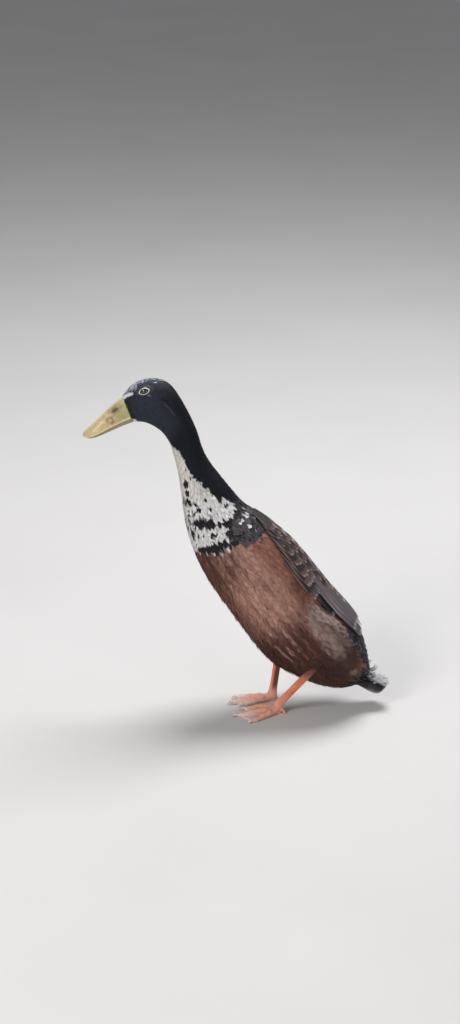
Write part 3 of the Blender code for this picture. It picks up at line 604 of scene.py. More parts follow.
# %% Head markings
# Pale flecks on the brow, a white wedge over the bill and a faint cheek.
nape = bench.rise(along, 1.6, 3.6) * bench.rise(share, 0.60, 0.25)
neck = bench.math("MAXIMUM", nape, bench.rise(along, 3.2, 4.8))
brow = bench.rise(share, 0.20, 0.03) * bench.rise(along, 3.0, 1.3)
taper = along * -0.035 + fray * 0.05
culmen = bench.rise(abs(share - (along * 0.15 + 0.135)), taper + 0.062, taper + 0.045)
colour = bench.layers(
    bench.mix(neck, SLATE, JET),
    (bench.rise(share, 0.30, 0.02) * bench.rise(along, 3.4, 1.4) * 0.8, CROWN_SHEEN),
    (bench.rise(along, 0.62, 0.12) * bench.rise(share, 0.20, 0.34), BROWN_BLACK),
    (bench.math("LESS_THAN", chance, brow * 0.68), BROW_GREY),
    (field((1.0, 0.175), (0.085, 0.045), 0.3) * 0.8, PALE_GREY),
    (field((1.80, 0.360), (0.14, 0.026), 0.3) * 0.7, PALE_GREY),
    (culmen * bench.rise(along, 0.80, 0.66), CULMEN_WHITE),
    (field((0.14, 0.80), (0.30, 0.060), 0.4), CREAM),
    (bench.rise(along, 0.11, 0.06) * bench.rise(share, 0.30, 0.36) * 0.7, BILL_EDGE),
    (field((3.25, 0.41), (0.42, 0.022), 0.9) * 0.10, PALE_GREY),
    (field((3.1, 0.375), (0.5, 0.030), 0.9) * 0.8, JET),
)

print("markings so far:", len(markings.nodes), "nodes")


# %% Bib and shoulder
# The bib is white in front of a line that runs down and back along the neck.
BIB_EDGE = (
    (3.2, 0.960), (3.8, 0.905), (4.4, 0.82), (4.95, 0.67), (5.65, 0.59), (6.10, 0.545),
    (6.55, 0.495), (6.95, 0.42), (7.25, 0.37), (7.45, 0.25), (7.7, 0.185), (8.1, 0.25),
    (8.3, 0.35), (8.7, 0.43), (9.2, 0.49),
)
RAMP_REACH = 22.0
bib_edge = bench.ramp(along / RAMP_REACH, [(place / RAMP_REACH, edge) for place, edge in BIB_EDGE])
loose = (wobble * 0.16 + fray * 0.26) * bench.rise(along, 4.5, 7.4)
bib = bench.rise(share - bib_edge + loose, -0.006, 0.006) * bench.rise(along, 3.20, 3.35)
bib_colour = bench.mix(bench.rise(along, 6.0, 8.0), CREAM, WHITE)
bib_colour = bench.mix(bench.rise(fine, 0.30, 0.75) * 0.6, bib_colour, BIB_SHADE)
shoulder = bench.rise(along, 7.5, 8.2) * bench.rise(share, 0.54, 0.44)
grey = bench.mix(bench.rise(mottle + fray * 0.4, 0.34, 0.72), SHOULDER_DARK, SHOULDER_GREY)
specks = bench.rise(mottle + fray * 0.55, 0.590, 0.615)
specks = specks * bench.rise(along, 6.7, 7.3) * bench.rise(share, 0.97, 0.86)
colour = bench.layers(colour, (shoulder, grey), (bib, bib_colour), (specks * bib, SHOULDER_DARK))

print("markings so far:", len(markings.nodes), "nodes")


# %% Marks on the bib and the collar
# Each mark: its place, its share of a half turn, and half sizes of both.
BLACK_PATCHES = (
    (6.45, 0.715, 0.13, 0.056), (6.77, 0.730, 0.12, 0.052), (7.13, 0.740, 0.13, 0.052),
    (5.95, 0.600, 0.05, 0.026), (6.35, 0.575, 0.08, 0.018), (7.40, 0.325, 0.10, 0.035),
    (8.03, 0.650, 0.19, 0.100), (8.16, 0.550, 0.23, 0.055), (8.42, 0.390, 0.16, 0.060),
    (7.88, 0.800, 0.24, 0.020), (8.42, 0.800, 0.28, 0.018), (9.12, 0.700, 0.15, 0.100),
    (9.20, 0.560, 0.18, 0.075), (8.66, 0.560, 0.07, 0.045), (8.30, 0.470, 0.12, 0.020),
    (7.62, 0.470, 0.07, 0.022), (7.55, 0.600, 0.05, 0.020),
)
WHITE_DOTS = (
    (8.53, 0.175, 0.095, 0.030), (8.60, 0.275, 0.080, 0.022), (9.00, 0.235, 0.100, 0.022),
    (9.38, 0.215, 0.070, 0.020), (8.20, 0.110, 0.060, 0.024), (8.92, 0.120, 0.060, 0.018),
)
edge_fray = (fray * 1.5 + wobble * 0.8) * 1.6
for place, turned, half_place, half_turned in BLACK_PATCHES:
    down, aside = (along - place) / half_place, (share - turned) / half_turned
    patch = bench.rise(down * down + aside * aside + edge_fray, 1.1, 0.95)
    colour = bench.mix(patch, colour, SHOULDER_DARK)
for place, turned, *halves in WHITE_DOTS:
    colour = bench.mix(field((place, turned), halves, 0.3) * 0.85, colour, WHITE)

print("markings so far:", len(markings.nodes), "nodes")


# %% Breast, flanks and belly
# The chestnut, with the darker and paler fields inside it; the darkening towards the underside and over the
# thigh is painted shade.
line = (1.0 - share) * 0.95 + 8.99 + (wobble * 0.35 + fray * 0.55)
below = bench.rise(along - line, -0.02, 0.05)
thigh = bench.rise(along, 12.2, 14.0) * bench.rise(share, 0.33, 0.46)
strands = bench.between(along, 12.6, 15.0, 0.5) * bench.between(share, 0.50, 0.68, 0.03)
flank = field((14.65, 0.29), (1.75, 0.110), 0.75, share + (along - 14.5) * 0.012)
flank = bench.rise(flank + fray * 0.5, 0.10, 0.75)
flank_tint = bench.mix(bench.rise(mottle + chance * 0.3, 0.35, 0.9), FLANK_BROWN, FLANK_GREY)
vent = bench.rise(field((17.0, 0.40), (1.9, 0.20), 0.95) + fray * 0.5, 0.05, 0.95)
red = bench.layers(
    bench.mix(bench.rise(patches + fray * 0.25, 0.35, 0.62), RUSSET, RUFOUS),
    (field((11.4, 0.52), (2.4, 0.17), 0.85) * bench.rise(streaks, 0.20, 0.66) * 0.92, FAWN),
    (field((9.75, 0.50), (0.60, 0.13), 0.9) * bench.rise(streaks, 0.25, 0.70) * 0.7, FAWN),
    (field((10.0, 0.72), (0.85, 0.25), 0.75) * bench.rise(streaks, 0.85, 0.30) * 0.9, UMBER),
    # Painted shade: darker towards the underside.
    (bench.rise(share, 0.66, 0.95) * 0.55, UMBER),
    # Painted shade: the thigh, low on the flank, is darkened with umber.
    (thigh * (bench.rise(streaks, 0.75, 0.35) * 0.25 + 0.73), UMBER),
    (strands * bench.rise(streaks, 0.57, 0.64) * 0.75, FAWN),
    (flank * 0.95, flank_tint),
    (vent * 0.75, VENT_BROWN),
    (field((15.55, 0.37), (0.95, 0.060), 0.85) * bench.rise(streaks, 0.25, 0.60) * 0.75, FLANK_GREY),
    (bench.rise(along, 15.5, 17.0) * bench.rise(share, 0.62, 0.80) * 0.6, UNDER_BROWN),
    (field((18.6, 0.40), (0.35, 0.05), 0.6) * 0.4, VENT_SPOT),
)

print("markings so far:", len(markings.nodes), "nodes")


# %% Rump and back
rump_line = wobble * 0.10 + fray * 0.10 + 0.215
rump = bench.rise(share - rump_line, 0.012, -0.012) * bench.rise(along, 14.9, 15.3)
rump = bench.math("MAXIMUM", rump, bench.rise(along, 19.0, 19.6))
colour = bench.layers(
    colour,
    (below, red),
    (rump, bench.mix(bench.rise(chance, 0.3, 0.9), RUMP_BLACK, RUMP_GREY)),
    (bench.rise(share, 0.13, 0.09) * bench.between(along, 8.8, 15.0, 0.1), BACK_BROWN),
)
bench.plug(result["Colour"], colour)
scaly = bench.math("MAXIMUM", rump, flank * 0.15)
bench.plug(result["Scaly"], bench.math("MAXIMUM", scaly, shoulder * 0.8))
print("markings:", len(markings.nodes), "nodes")


# %% [markdown]
# ## Barbs
#
# A feather's vane is made of fine barbs that leave the shaft at a slant. Real ones are far
# too fine to model, so a bump pattern on the vane's own two numbers draws them: slanted lines
# on both sides of the shaft, broken by a few splits.


# %% Barb pattern
barbs, bench, given, result = new_group(
    "vane barbs",
    {"Vane": VECTOR, "Lie": VECTOR, "Count": NUMBER},
    {"Height": NUMBER, "Shade": NUMBER, "Edge": NUMBER, "Shaft": NUMBER},
)
across, up_vane, _ = bench.parts(given["Vane"])
_, _, chance = bench.parts(given["Lie"])
from_shaft = abs(across - 0.5) * 2.0
phase = (up_vane - from_shaft * 0.28) * given["Count"] + chance * 17.0
lines = bench.math("SINE", phase * 6.2832)
grain = bench.noise(bench.joined(phase * 0.22, from_shaft, chance), 3.0)
shaft = bench.rise(from_shaft, 0.10, 0.02)
bench.plug(result["Height"], lines * 0.35 + grain * 1.3 + shaft * 0.8)
bench.plug(result["Shade"], bench.rise(grain, 0.25, 0.75))
to_edge = bench.math("MINIMUM", (1.0 - up_vane) * 3.4, 1.0 - from_shaft)
bench.plug(result["Edge"], bench.rise(to_edge, 0.30, 0.06))
bench.plug(result["Shaft"], shaft)
print("barbs:", len(barbs.nodes), "nodes")


# %% Coat and skin finishes
def vane_reads(bench, barb_count):
    """What every feather finish reads: its lie, its vane's two numbers, its chance, its barbs."""
    lie, vane = bench.attribute("lie"), bench.uv("vane")
    across, up_vane, _ = bench.parts(vane)
    pattern = bench.group(barbs, Vane=vane, Lie=lie, Count=barb_count)
    return lie, across, up_vane, bench.parts(lie)[2], pattern


def feather_finish(name, roughness, edge_gain, barb_count, bump, gloss, contrast=0.26):
    """The finish of a feathered piece: its markings, painted shade towards the roots, lighter rims and the
    barbs' bump.
    """
    made, bench, shader = new_material(name, roughness, Specular_IOR_Level=gloss)
    lie, across, up_vane, chance, pattern = vane_reads(bench, barb_count)
    marks = bench.group(markings, Spot=bench.attribute("spot"), Lie=lie)
    strand_place = across * 6.0 + chance * 91.0
    strand = bench.noise(bench.joined(strand_place, up_vane * 0.6, chance), 1.0)
    # Painted shade: each feather is darker towards its root, where the feathers over it shade it.
    root_shade = bench.mix(bench.rise(up_vane, 0.1, 0.6), (0.86, 0.85, 0.84), (1.04, 1.04, 1.04))
    darkest, palest = (1.0 - contrast,) * 3, (1.0 + contrast,) * 3
    colour = bench.tinted(marks["Colour"], root_shade)
    colour = bench.tinted(colour, bench.mix(bench.rise(strand, 0.25, 0.75), darkest, palest))
    colour = bench.tinted(colour, bench.mix(chance, (0.90, 0.90, 0.90), (1.10, 1.10, 1.10)))
    rim = pattern["Edge"] * (marks["Scaly"] * 0.60 + edge_gain)
    rough = bench.rise(pattern["Shade"], -1.2, 1.6)
    bench.wire(
        shader,
        Base_Color=bench.mix(rim, colour, bench.mix(0.50, colour, (0.36, 0.32, 0.31))),
        Roughness=rough * 0.24 + (roughness - 0.12),
        Normal=bench.bump(pattern["Height"], bump * MM, 0.7),
    )
    return made


skin_finish, bench, shader = new_material("skin under the coat", 0.8, Specular_IOR_Level=0.2)
spot = bench.attribute("spot")
marks = bench.group(markings, Spot=spot, Lie=bench.attribute("lie"))
bench.wire(
    shader,
    # Painted shade: the skin takes the markings darker, as shade under the coat.
    Base_Color=bench.tinted(marks["Colour"], (0.75, 0.73, 0.72)),
    Normal=bench.bump(bench.noise(spot, 1.6, 3.0), 0.4 * MM, 0.6),
)

head_finish = feather_finish("head feathers", 0.56, 0.0, 5.0, 0.15, 0.16)
body_finish = feather_finish("body feathers", 0.72, 0.03, 9.0, 0.12, 0.18, 0.16)
covert_finish = feather_finish("shoulder and rump feathers", 0.60, 0.35, 14.0, 0.3, 0.30)
print("finishes:", [finish.name for finish in (skin_finish, head_finish, body_finish, covert_finish)])


# %% [markdown]
# ## The skin
#
# One closed skin runs from the face to the tail and down to the two hocks, so that no seam
# shows between the head, the neck, the torso and the thighs. It could be left out, since the
# coat hides it, but then light would shine through between the feathers. It is a loft laid
# below the coat's depth, with two short sleeves for the thighs joined on by a Boolean.


# %% Skin
SKIN_STEPS, SLEEVE_STEPS = (84, 170), (28, 14)
# Each leg: its hip, hock and ankle in millimetres, where its toes head in degrees, its side.
LEGS = {
    "left": ((88.0, 38.0, 116.0), (106.5, 42.5, 74.0), (57.0, 28.0, 11.8), 14.0, LEFT),
    "right": ((84.0, 35.0, 112.0), (60.0, 32.0, 70.0), (50.0, 14.0, 8.6), -15.0, RIGHT),
}
THIGH_SHARE = 0.93
THIGH_DEEP, THIGH_WIDE = (20.0, 9.0), (15.0, 7.2)
SKIN_INSET = 1.2


def skin_on(round_share, along):
    place, turn = along * LAST_PLACE, 2 * math.pi * round_share
    return body_on(place, turn, -coat_depth(place))


def leg_places(which):
    hip, hock, ankle, heading, side = LEGS[which]
    return [np.array((x, -side * y, z)) for x, y, z in (hip, hock, ankle)], heading, side


def thigh_on(which, inset):
    """place_on for the thigh's sleeve, which narrows from inside the body to the hock."""
    (hip, hock, _), _, _ = leg_places(which)
    shares = np.array((0.0, 0.3, 0.6, 0.85, THIGH_SHARE + 0.03))
    centres = hip + (hock - hip) * shares[:, None]
    axes = np.repeat([unit(hock - hip)], len(shares), 0)
    fall = (shares / shares[-1]) ** 1.3
    deep, wide = (top + (end - top) * fall - inset for top, end in (THIGH_DEEP, THIGH_WIDE))
    return tube_rings(centres, axes, deep, wide)


bm = bmesh.new()
bent_grid(bm, SKIN_STEPS, skin_on)
skin = new_piece("skin", bm, skin_finish)
for which in LEGS:
    bm = bmesh.new()
    bent_grid(bm, SLEEVE_STEPS, thigh_on(which, SKIN_INSET))
    sleeve = new_piece(f"sleeve {which}", bm, skin_finish)
    joint = skin.modifiers.new("sleeve", "BOOLEAN")
    joint.operation, joint.object, joint.solver = "UNION", sleeve, "MANIFOLD"
    bake_modifiers(skin)
    bpy.data.objects.remove(sleeve)


# %% The skin's places
# Each point of the finished skin looks up the nearest place on the body for its markings.
all_places, all_turns = (
    grid.ravel()
    for grid in np.meshgrid(
        np.linspace(0.0, LAST_PLACE, 260), np.linspace(-math.pi, math.pi, 121)[:-1], indexing="ij"
    )
)
tree = KDTree(len(all_places))
for i, point in enumerate(body_on(all_places, all_turns, -coat_depth(all_places))):
    tree.insert(point, i)
tree.balance()


def nearest_lie(points):
    """The place and the turn on the body nearest to each point."""
    found = np.array([tree.find(point)[1] for point in points])
    return np.stack([all_places[found], all_turns[found]], -1)


skin_lie = nearest_lie(write_bird_places(skin))
middling = np.full(len(skin_lie), 0.5)
write_vectors(skin.data, "lie", np.stack([skin_lie[:, 0], np.abs(skin_lie[:, 1]) / math.pi, middling], -1))
dress(skin, "dark feather", "head", "neck_upper", "neck_lower", "torso", "thigh_left", "thigh_right", "tail")
print("skin:", len(skin.data.polygons), "faces")


# %% [markdown]
# ## Feather templates
#
# A small body feather is a tuft of narrow blades that fan out from one root, and a larger one
# is a cupped vane with a rounded tip. Each template is modelled once, in shares: along 0 to 1,
# across -1 to 1 and a rise. It is then copied thousands of times into one joined mesh with
# arrays, since a modifier or an instance for each feather would be slow and wouldn't export.


# %% Templates
def template_arrays(bm):
    bmesh.ops.triangulate(bm, faces=bm.faces[:])
    bm.verts.index_update()
    points = np.array([vert.co[:] for vert in bm.verts])
    faces = np.array([[vert.index for vert in face.verts] for face in bm.faces])
    normals = np.array([face.normal[:] for face in bm.faces])
    bm.free()
    flip = normals[:, 2] < 0
    faces[flip] = faces[flip][:, ::-1]
    return points, faces


def tuft_template(blades, rows, blade_half, arch, seed):
    """Narrow tapering blades side by side, the outer ones shorter and turned out."""
    draw = np.random.default_rng(seed)
    bm = bmesh.new()
    for i in range(blades):
        where = -1.0 + 2.0 * (i + 0.5) / blades
        reach = 1.0 - 0.30 * where**2 - draw.uniform(0.0, 0.16)
        made = bmesh.ops.create_grid(bm, x_segments=1, y_segments=rows, size=0.5)
        lift = draw.uniform(-0.06, 0.06)
        for vert in made["verts"]:
            side, share = vert.co.x * 2.0, vert.co.y + 0.5
            narrow = (1.0 - share**2.2) * 0.93 + 0.07
            along = share * reach
            across = where * (0.35 + 0.65 * along) + side * blade_half * narrow
            vert.co = (along, across, arch * math.sin(math.pi * share * 0.8) + lift * share)
    bmesh.ops.recalc_face_normals(bm, faces=bm.faces)
    bm.normal_update()
    return template_arrays(bm)


def vane_template(columns, rows, tip_round, cup, narrow_root=0.55, point=0.0):
    """One cupped vane: narrow at its root, with a rounded tip and a raised middle."""
    bm = bmesh.new()
    bmesh.ops.create_grid(bm, x_segments=columns, y_segments=rows, size=0.5)
    for vert in bm.verts:
        side, share = vert.co.x * 2.0, vert.co.y + 0.5
        width = narrow_root + (1.0 - narrow_root) * math.sin(min(share / 0.55, 1.0) * math.pi / 2)
        width *= 1.0 - (0.14 + point) * max((share - 0.6) / 0.4, 0.0) ** 2
        along = share * (1.0 - tip_round * side**2 * share**2)
        vert.co = (along, side * width, -cup * side**2 + 0.05 * math.sin(math.pi * share))
    bm.normal_update()
    return template_arrays(bm)


SMALL_TUFT = tuft_template(5, 2, 0.30, 0.10, 3)
LONG_TUFT = tuft_template(7, 3, 0.22, 0.14, 5)
SILK_TUFT = tuft_template(9, 3, 0.17, 0.10, 7)
SCALE_VANE = vane_template(4, 5, 0.34, 0.10)
COVERT_VANE = vane_template(6, 8, 0.30, 0.10, 0.6)
ROUND_VANE = vane_template(6, 8, 0.26, 0.16, 0.7)
FLIGHT_VANE = vane_template(6, 14, 0.10, 0.07, 0.5, 0.22)
for label, (points, faces) in {
    "small tuft": SMALL_TUFT, "long tuft": LONG_TUFT, "silk tuft": SILK_TUFT, "scale vane": SCALE_VANE,
    "covert": COVERT_VANE, "round covert": ROUND_VANE, "flight feather": FLIGHT_VANE,
}.items():
    print(f"{label}: {len(points)} points, {len(faces)} triangles")


# %% [markdown]
# ## Planting feathers
#
# Feathers grow in staggered rows, a little more widely spaced than real ones, each with a
# random length, lie and lift. A feather runs from a root to a tip, both given as a place and a
# turn on the body, and every point of it takes its height over the body, so that long
# feathers bend with the form. The bake map puts each feather as a small patch at its root's
# place on the unrolled skin.


# %% Places on the body
MEASURED = np.linspace(0, LAST_PLACE, 211)
side_line = body_shape(MEASURED, 1.5)
LENGTHS = np.concatenate([[0.0], np.cumsum(np.linalg.norm(np.diff(side_line, axis=0), axis=1))])
BAKE_PATCH = 0.003
READ_AT = 0.62  # how far up a feather its colour is read, since only its end shows
print(f"the body is {LENGTHS[-1]:.0f} mm long down its side")


def round_share(turn):
    return np.abs((turn + math.pi) % (2 * math.pi) - math.pi) / math.pi


def unrolled(place, turn):
    """The place of a point on the unrolled skin, both from 0 to 1."""
    down = np.interp(place, MEASURED, LENGTHS) / LENGTHS[-1]
    turned = (turn + math.pi) % (2 * math.pi) / (2 * math.pi)
    return np.stack([0.01 + 0.98 * turned, 0.01 + 0.98 * down], -1)


def body_scale(place, turn):
    """Millimetres for each section along and each radian round, at places on the body."""
    along, around = body_steps(place, turn)
    around = np.maximum(np.linalg.norm(around, axis=1), 4.0)
    return np.stack([np.linalg.norm(along, axis=1), around], -1)


# %% Rows of roots
def planted_rows(start, end, spacing, keep, draw):
    """Roots in staggered rows, jittered; keep(place, turn) is the share that grows there."""
    places, turns = [], []
    place, row = start, 0
    while place < end:
        turn = np.linspace(-math.pi, math.pi, 73)
        along, around = body_steps(np.full(73, place), turn)
        perimeter = np.linalg.norm(around, axis=1).mean() * 2 * math.pi
        count = max(int(perimeter / spacing[0]), 6)
        found = (np.arange(count) + 0.5 * (row % 2) + draw.uniform(-0.36, 0.36, count)) / count
        turns.append(found * 2 * math.pi - math.pi)
        row_step = spacing[1] / np.percentile(np.linalg.norm(along, axis=1), 80)
        places.append(place + draw.uniform(-0.4, 0.4, count) * row_step)
        place += row_step
        row += 1
    places, turns = np.concatenate(places), np.concatenate(turns)
    kept = draw.random(len(places)) < keep(places, turns)
    return places[kept], turns[kept]


# %% Feathers joined in one mesh
def joined_piece(name, template, points, finish, roots, read, spots, chance, tone=None):
    """Writes copies of a template as one object, with its two UV maps and its attributes."""
    (share, side, _), faces = template[0].T, template[1]
    count, size = len(roots), len(share)
    corners = (faces + np.arange(count)[:, None, None] * size).reshape(-1, 3)
    bake = unrolled(*roots.T)[:, None] + np.stack([side * 0.5, share - 0.5], -1) * BAKE_PATCH
    vane = np.tile(np.stack([side * 0.5 + 0.5, share], -1), (count, 1))
    lie = np.stack([read[:, 0], round_share(read[:, 1]), chance], -1)
    mesh = bpy.data.meshes.new(name)
    mesh.vertices.add(len(points))
    mesh.vertices.foreach_set("co", np.asarray(points, np.float32).ravel())
    mesh.loops.add(corners.size)
    mesh.polygons.add(len(corners))
    mesh.polygons.foreach_set("loop_start", np.arange(0, corners.size, 3, dtype=np.int32))
    mesh.loops.foreach_set("vertex_index", corners.astype(np.int32).ravel())
    mesh.update(calc_edges=True)
    for label, values in (("OFBake", bake.reshape(-1, 2)), ("vane", vane)):
        layer = mesh.uv_layers.new(name=label)
        layer.data.foreach_set("uv", np.ascontiguousarray(values[corners.ravel()], np.float32).ravel())
    write_vectors(mesh, "spot", np.repeat(spots, size, 0))
    write_vectors(mesh, "lie", np.repeat(lie, size, 0))
    if tone is not None:
        write_numbers(mesh, "tone", np.repeat(tone, size))
    mesh.materials.append(finish)
    mesh.shade_smooth()
    piece = bpy.data.objects.new(name, mesh)
    bpy.context.scene.collection.objects.link(piece)
    print(f"{name}: {len(corners)} triangles")
    return piece


# %% Feathers laid on the body
def laid_feathers(name, template, roots, tips, half, low, high, chance, finish, tilt, tone=None, rise=0.8):
    """Lays a template along every root-to-tip line on the body, between two heights."""
    share, side, lift = template[0].T
    count = len(roots)
    half, low, high, tilt = (np.broadcast_to(value, count)[:, None] for value in (half, low, high, tilt))
    reach = tips - roots
    metric = body_scale(*((roots + tips) / 2).T)
    heading = unit(reach * metric)
    offset = side * half
    place = roots[:, :1] + reach[:, :1] * share - offset * heading[:, 1:] / metric[:, :1]
    turn = roots[:, 1:] + reach[:, 1:] * share + offset * heading[:, :1] / metric[:, 1:]
    height = low + (high - low) * share**rise + lift * half + side * tilt
    points = to_model(body_on(place.ravel(), turn.ravel(), height.ravel()))
    read = roots + reach * READ_AT
    spots = body_on(read[:, 0], read[:, 1], 0.0)
    return joined_piece(name, template, points, finish, roots, read, spots, chance, tone)


# %% A stretch of coat
def coat_piece(name, template, start, end, spacing, size, lift, finish, keep, seed, ruffle):
    """A stretch of the body's coat. size is (length, half width), lift (root, tip), in mm."""
    draw = np.random.default_rng(SEED + seed)
    place, turn = planted_rows(start, end, spacing, keep, draw)
    count = len(place)
    length = size[0] * draw.uniform(0.78, 1.22, count)
    stray = draw.normal(0.0, ruffle, count)
    steps = np.stack([np.cos(stray), np.sin(stray)], -1) * length[:, None] / body_scale(place, turn)
    roots = np.stack([place, turn], -1)
    half = size[1] * draw.uniform(0.85, 1.15, count)
    depth = coat_depth(place)
    low = -depth * 0.85 + lift[0]
    high = lift[1] + draw.normal(0.0, 0.11, count) * depth
    chance = draw.random(count)
    tilt = draw.normal(0.0, 0.06, count) * size[1]
    return laid_feathers(name, template, roots, roots + steps, half, low, high, chance, finish, tilt)


# %% [markdown]
# ## The coat
#
# The feathers are smallest on the face, longer down the neck and longest on the flanks. They
# leave a bare ring round each eye, and they stop under the folded wings, where nothing shows.


# %% Where feathers grow
WING_EDGE_PLACES = (8.8, 9.45, 10.05, 11.15, 11.9, 12.45, 13.3, 13.9, 15.3, 16.3)
WING_EDGE_SHARES = (0.06, 0.10, 0.16, 0.20, 0.24, 0.27, 0.28, 0.24, 0.17, 0.08)
EYE_CLEARING, EYE_SLOPE = (7.6, 5.9), 0.3


def wing_edge(place):
    """The share of a half turn at which the folded wing's lower edge lies."""
    return np.interp(place, WING_EDGE_PLACES, WING_EDGE_SHARES)


print("the wing's lower edge:", np.round(wing_edge(np.arange(9.0, 17.0)), 2))


def clear_of_eye(place, turn):
    points = body_on(place, turn, 0.0)
    ahead, upwards = points[:, 0] - EYE_PLACE[0], points[:, 2] - EYE_PLACE[2]
    cos, sin = math.cos(EYE_SLOPE), math.sin(EYE_SLOPE)
    lengthwise = (ahead * cos + upwards * sin) / EYE_CLEARING[0]
    upright = (upwards * cos - ahead * sin) / EYE_CLEARING[1]
    return lengthwise**2 + upright**2 > 1.0


def clear_of_wing(place, turn):
    return ~((round_share(turn) < wing_edge(place) - 0.05) & (place > 9.3) & (place < 15.6))


def everywhere(place, turn):
    return np.ones(len(place))


def shoulder_places(place, turn):
    return (round_share(turn) < 0.40) & (place < 9.7)


def rump_places(place, turn):
    return round_share(turn) < 0.22


def wing_fold(place, turn):
    beside_edge = np.abs(round_share(turn) - wing_edge(place) - 0.012) < 0.030
    return beside_edge & (place > 12.4) & (place < 15.0)


def low_places(place, turn):
    return np.clip((round_share(turn) - 0.42) * 2.0, 0.0, 0.8)


# %% Head, neck, body and rump
DARK, CHESTNUT = "dark feather", "chestnut feather"
# Each piece: its template, first and last place, spacing, length and half width, lift of root
# and tip, finish, where it grows, seed, ruffle, slot and the nodes that it stands for.
COAT = {
    "face_coat": (
        SMALL_TUFT, 0.0, 3.4, (1.5, 1.7), (4.2, 1.0), (0.05, 0.05), head_finish, clear_of_eye, 1,
        0.16, DARK, "head",
    ),
    "neck_coat": (
        SMALL_TUFT, 3.3, 7.0, (1.9, 2.2), (7.0, 1.4), (0.0, 0.0), head_finish, everywhere, 2,
        0.16, DARK, "neck_upper", "neck_lower",
    ),
    "collar_coat": (
        LONG_TUFT, 6.9, 9.5, (2.5, 2.7), (9.0, 2.0), (0.0, 0.0), body_finish, everywhere, 3,
        0.20, "mottled feather", "neck_lower",
    ),
    "breast_coat": (
        SILK_TUFT, 9.1, 12.4, (3.4, 4.1), (19.0, 3.0), (0.0, 0.0), body_finish, clear_of_wing, 4,
        0.16, CHESTNUT, "torso",
    ),
    "flank_coat": (
        SILK_TUFT, 12.3, 16.2, (3.4, 4.2), (19.0, 3.1), (0.0, 0.1), body_finish, clear_of_wing, 5,
        0.20, CHESTNUT, "torso",
    ),
    "vent_coat": (
        LONG_TUFT, 16.1, 20.6, (2.9, 3.3), (12.0, 2.5), (0.0, 0.1), body_finish, everywhere, 6,
        0.28, CHESTNUT, "torso", "tail",
    ),
    "shoulder_scales": (
        SCALE_VANE, 8.3, 9.7, (4.4, 4.8), (9.0, 3.4), (0.6, 1.0), covert_finish, shoulder_places, 7,
        0.18, CHESTNUT, "torso",
    ),
    "rump_scales": (
        SCALE_VANE, 15.2, 20.3, (5.4, 5.6), (10.5, 4.5), (0.6, 1.6), covert_finish, rump_places, 10,
        0.20, CHESTNUT, "torso",
    ),
    "flank_fold_coat": (
        LONG_TUFT, 12.4, 15.0, (2.8, 3.4), (13.0, 3.2), (1.0, 4.2), body_finish, wing_fold, 8,
        0.22, CHESTNUT, "torso",
    ),
    "belly_wisps": (
        LONG_TUFT, 10.2, 18.6, (6.0, 7.0), (13.0, 1.5), (0.0, 1.9), body_finish, low_places, 9,
        0.25, CHESTNUT, "torso",
    ),
}
for name, row in COAT.items():
    choices, slot, nodes = row[:10], row[10], row[11:]
    dress(coat_piece(name, *choices), slot, *nodes)


# %% [markdown]
# ## The folded wings
#
# Each wing is tiers of vanes that overlap like tiles: the lesser, median and greater coverts,
# the scapulars over the shoulder, then the secondaries, tertials and primaries that lie back
# over the rump. The tiers follow the same places as in the solid model, with two to three
# times as many feathers. Each tier is written as its first and its last feather, and the rest
# are spaced evenly between them.


# %% Wing finish
wing_finish, bench, shader = new_material("wing feathers", 0.42, Specular_IOR_Level=0.35)
_, across, up_vane, chance, pattern = vane_reads(bench, 30.0)
tone = bench.attribute("tone", "Fac")
from_shaft = abs(across - 0.5) * 2.0
heart = bench.math("MINIMUM", (1.0 - up_vane) * 3.0, 1.15 - from_shaft)
scalloped = bench.layers(
    (0.014, 0.010, 0.012),
    (bench.rise(heart, 0.66, 0.46), (0.092, 0.056, 0.048)),
    (bench.rise(heart, 0.30, 0.16), (0.23, 0.175, 0.165)),
)
ridge = bench.layers(
    (0.080, 0.058, 0.055),
    (bench.rise(heart, 0.70, 0.45), (0.21, 0.155, 0.142)),
    (bench.rise(heart, 0.45, 0.25), (0.52, 0.43, 0.41)),
)
barred = bench.layers(
    (0.130, 0.105, 0.108),
    (bench.rise(across, 0.40, 0.48), (0.012, 0.010, 0.012)),
    (bench.rise(heart, 0.24, 0.15), (0.22, 0.18, 0.175)),
)
pale_streak = bench.rise(from_shaft, 0.84, 0.94) * bench.rise(up_vane, 0.35, 0.7)
glossy = bench.layers(
    (0.020, 0.016, 0.019),
    (bench.rise(across, 0.10, 0.9), (0.105, 0.088, 0.098)),
    (bench.rise(heart, 0.22, 0.12), (0.25, 0.225, 0.230)),
    (pale_streak * 0.8, (0.42, 0.385, 0.395)),
)
colour = bench.layers(
    scalloped,
    (bench.rise(tone, 0.14, 0.18), ridge),
    (bench.rise(tone, 0.35, 0.45), barred),
    (bench.rise(tone, 0.65, 0.75), glossy),
    (pattern["Shaft"] * 0.5, (0.012, 0.010, 0.010)),
    (pattern["Shade"] * 0.25, (0.0, 0.0, 0.0)),
)
bench.wire(
    shader,
    Base_Color=bench.tinted(colour, bench.mix(chance, (0.80, 0.79, 0.79), (1.25, 1.22, 1.2))),
    Roughness=bench.rise(tone, 0.9, 0.4) * 0.20 + 0.34 + pattern["Shade"] * 0.1,
    Normal=bench.bump(pattern["Height"], 0.25 * MM, 0.8),
)
print("wing finish:", len(bench.tree.nodes), "nodes")


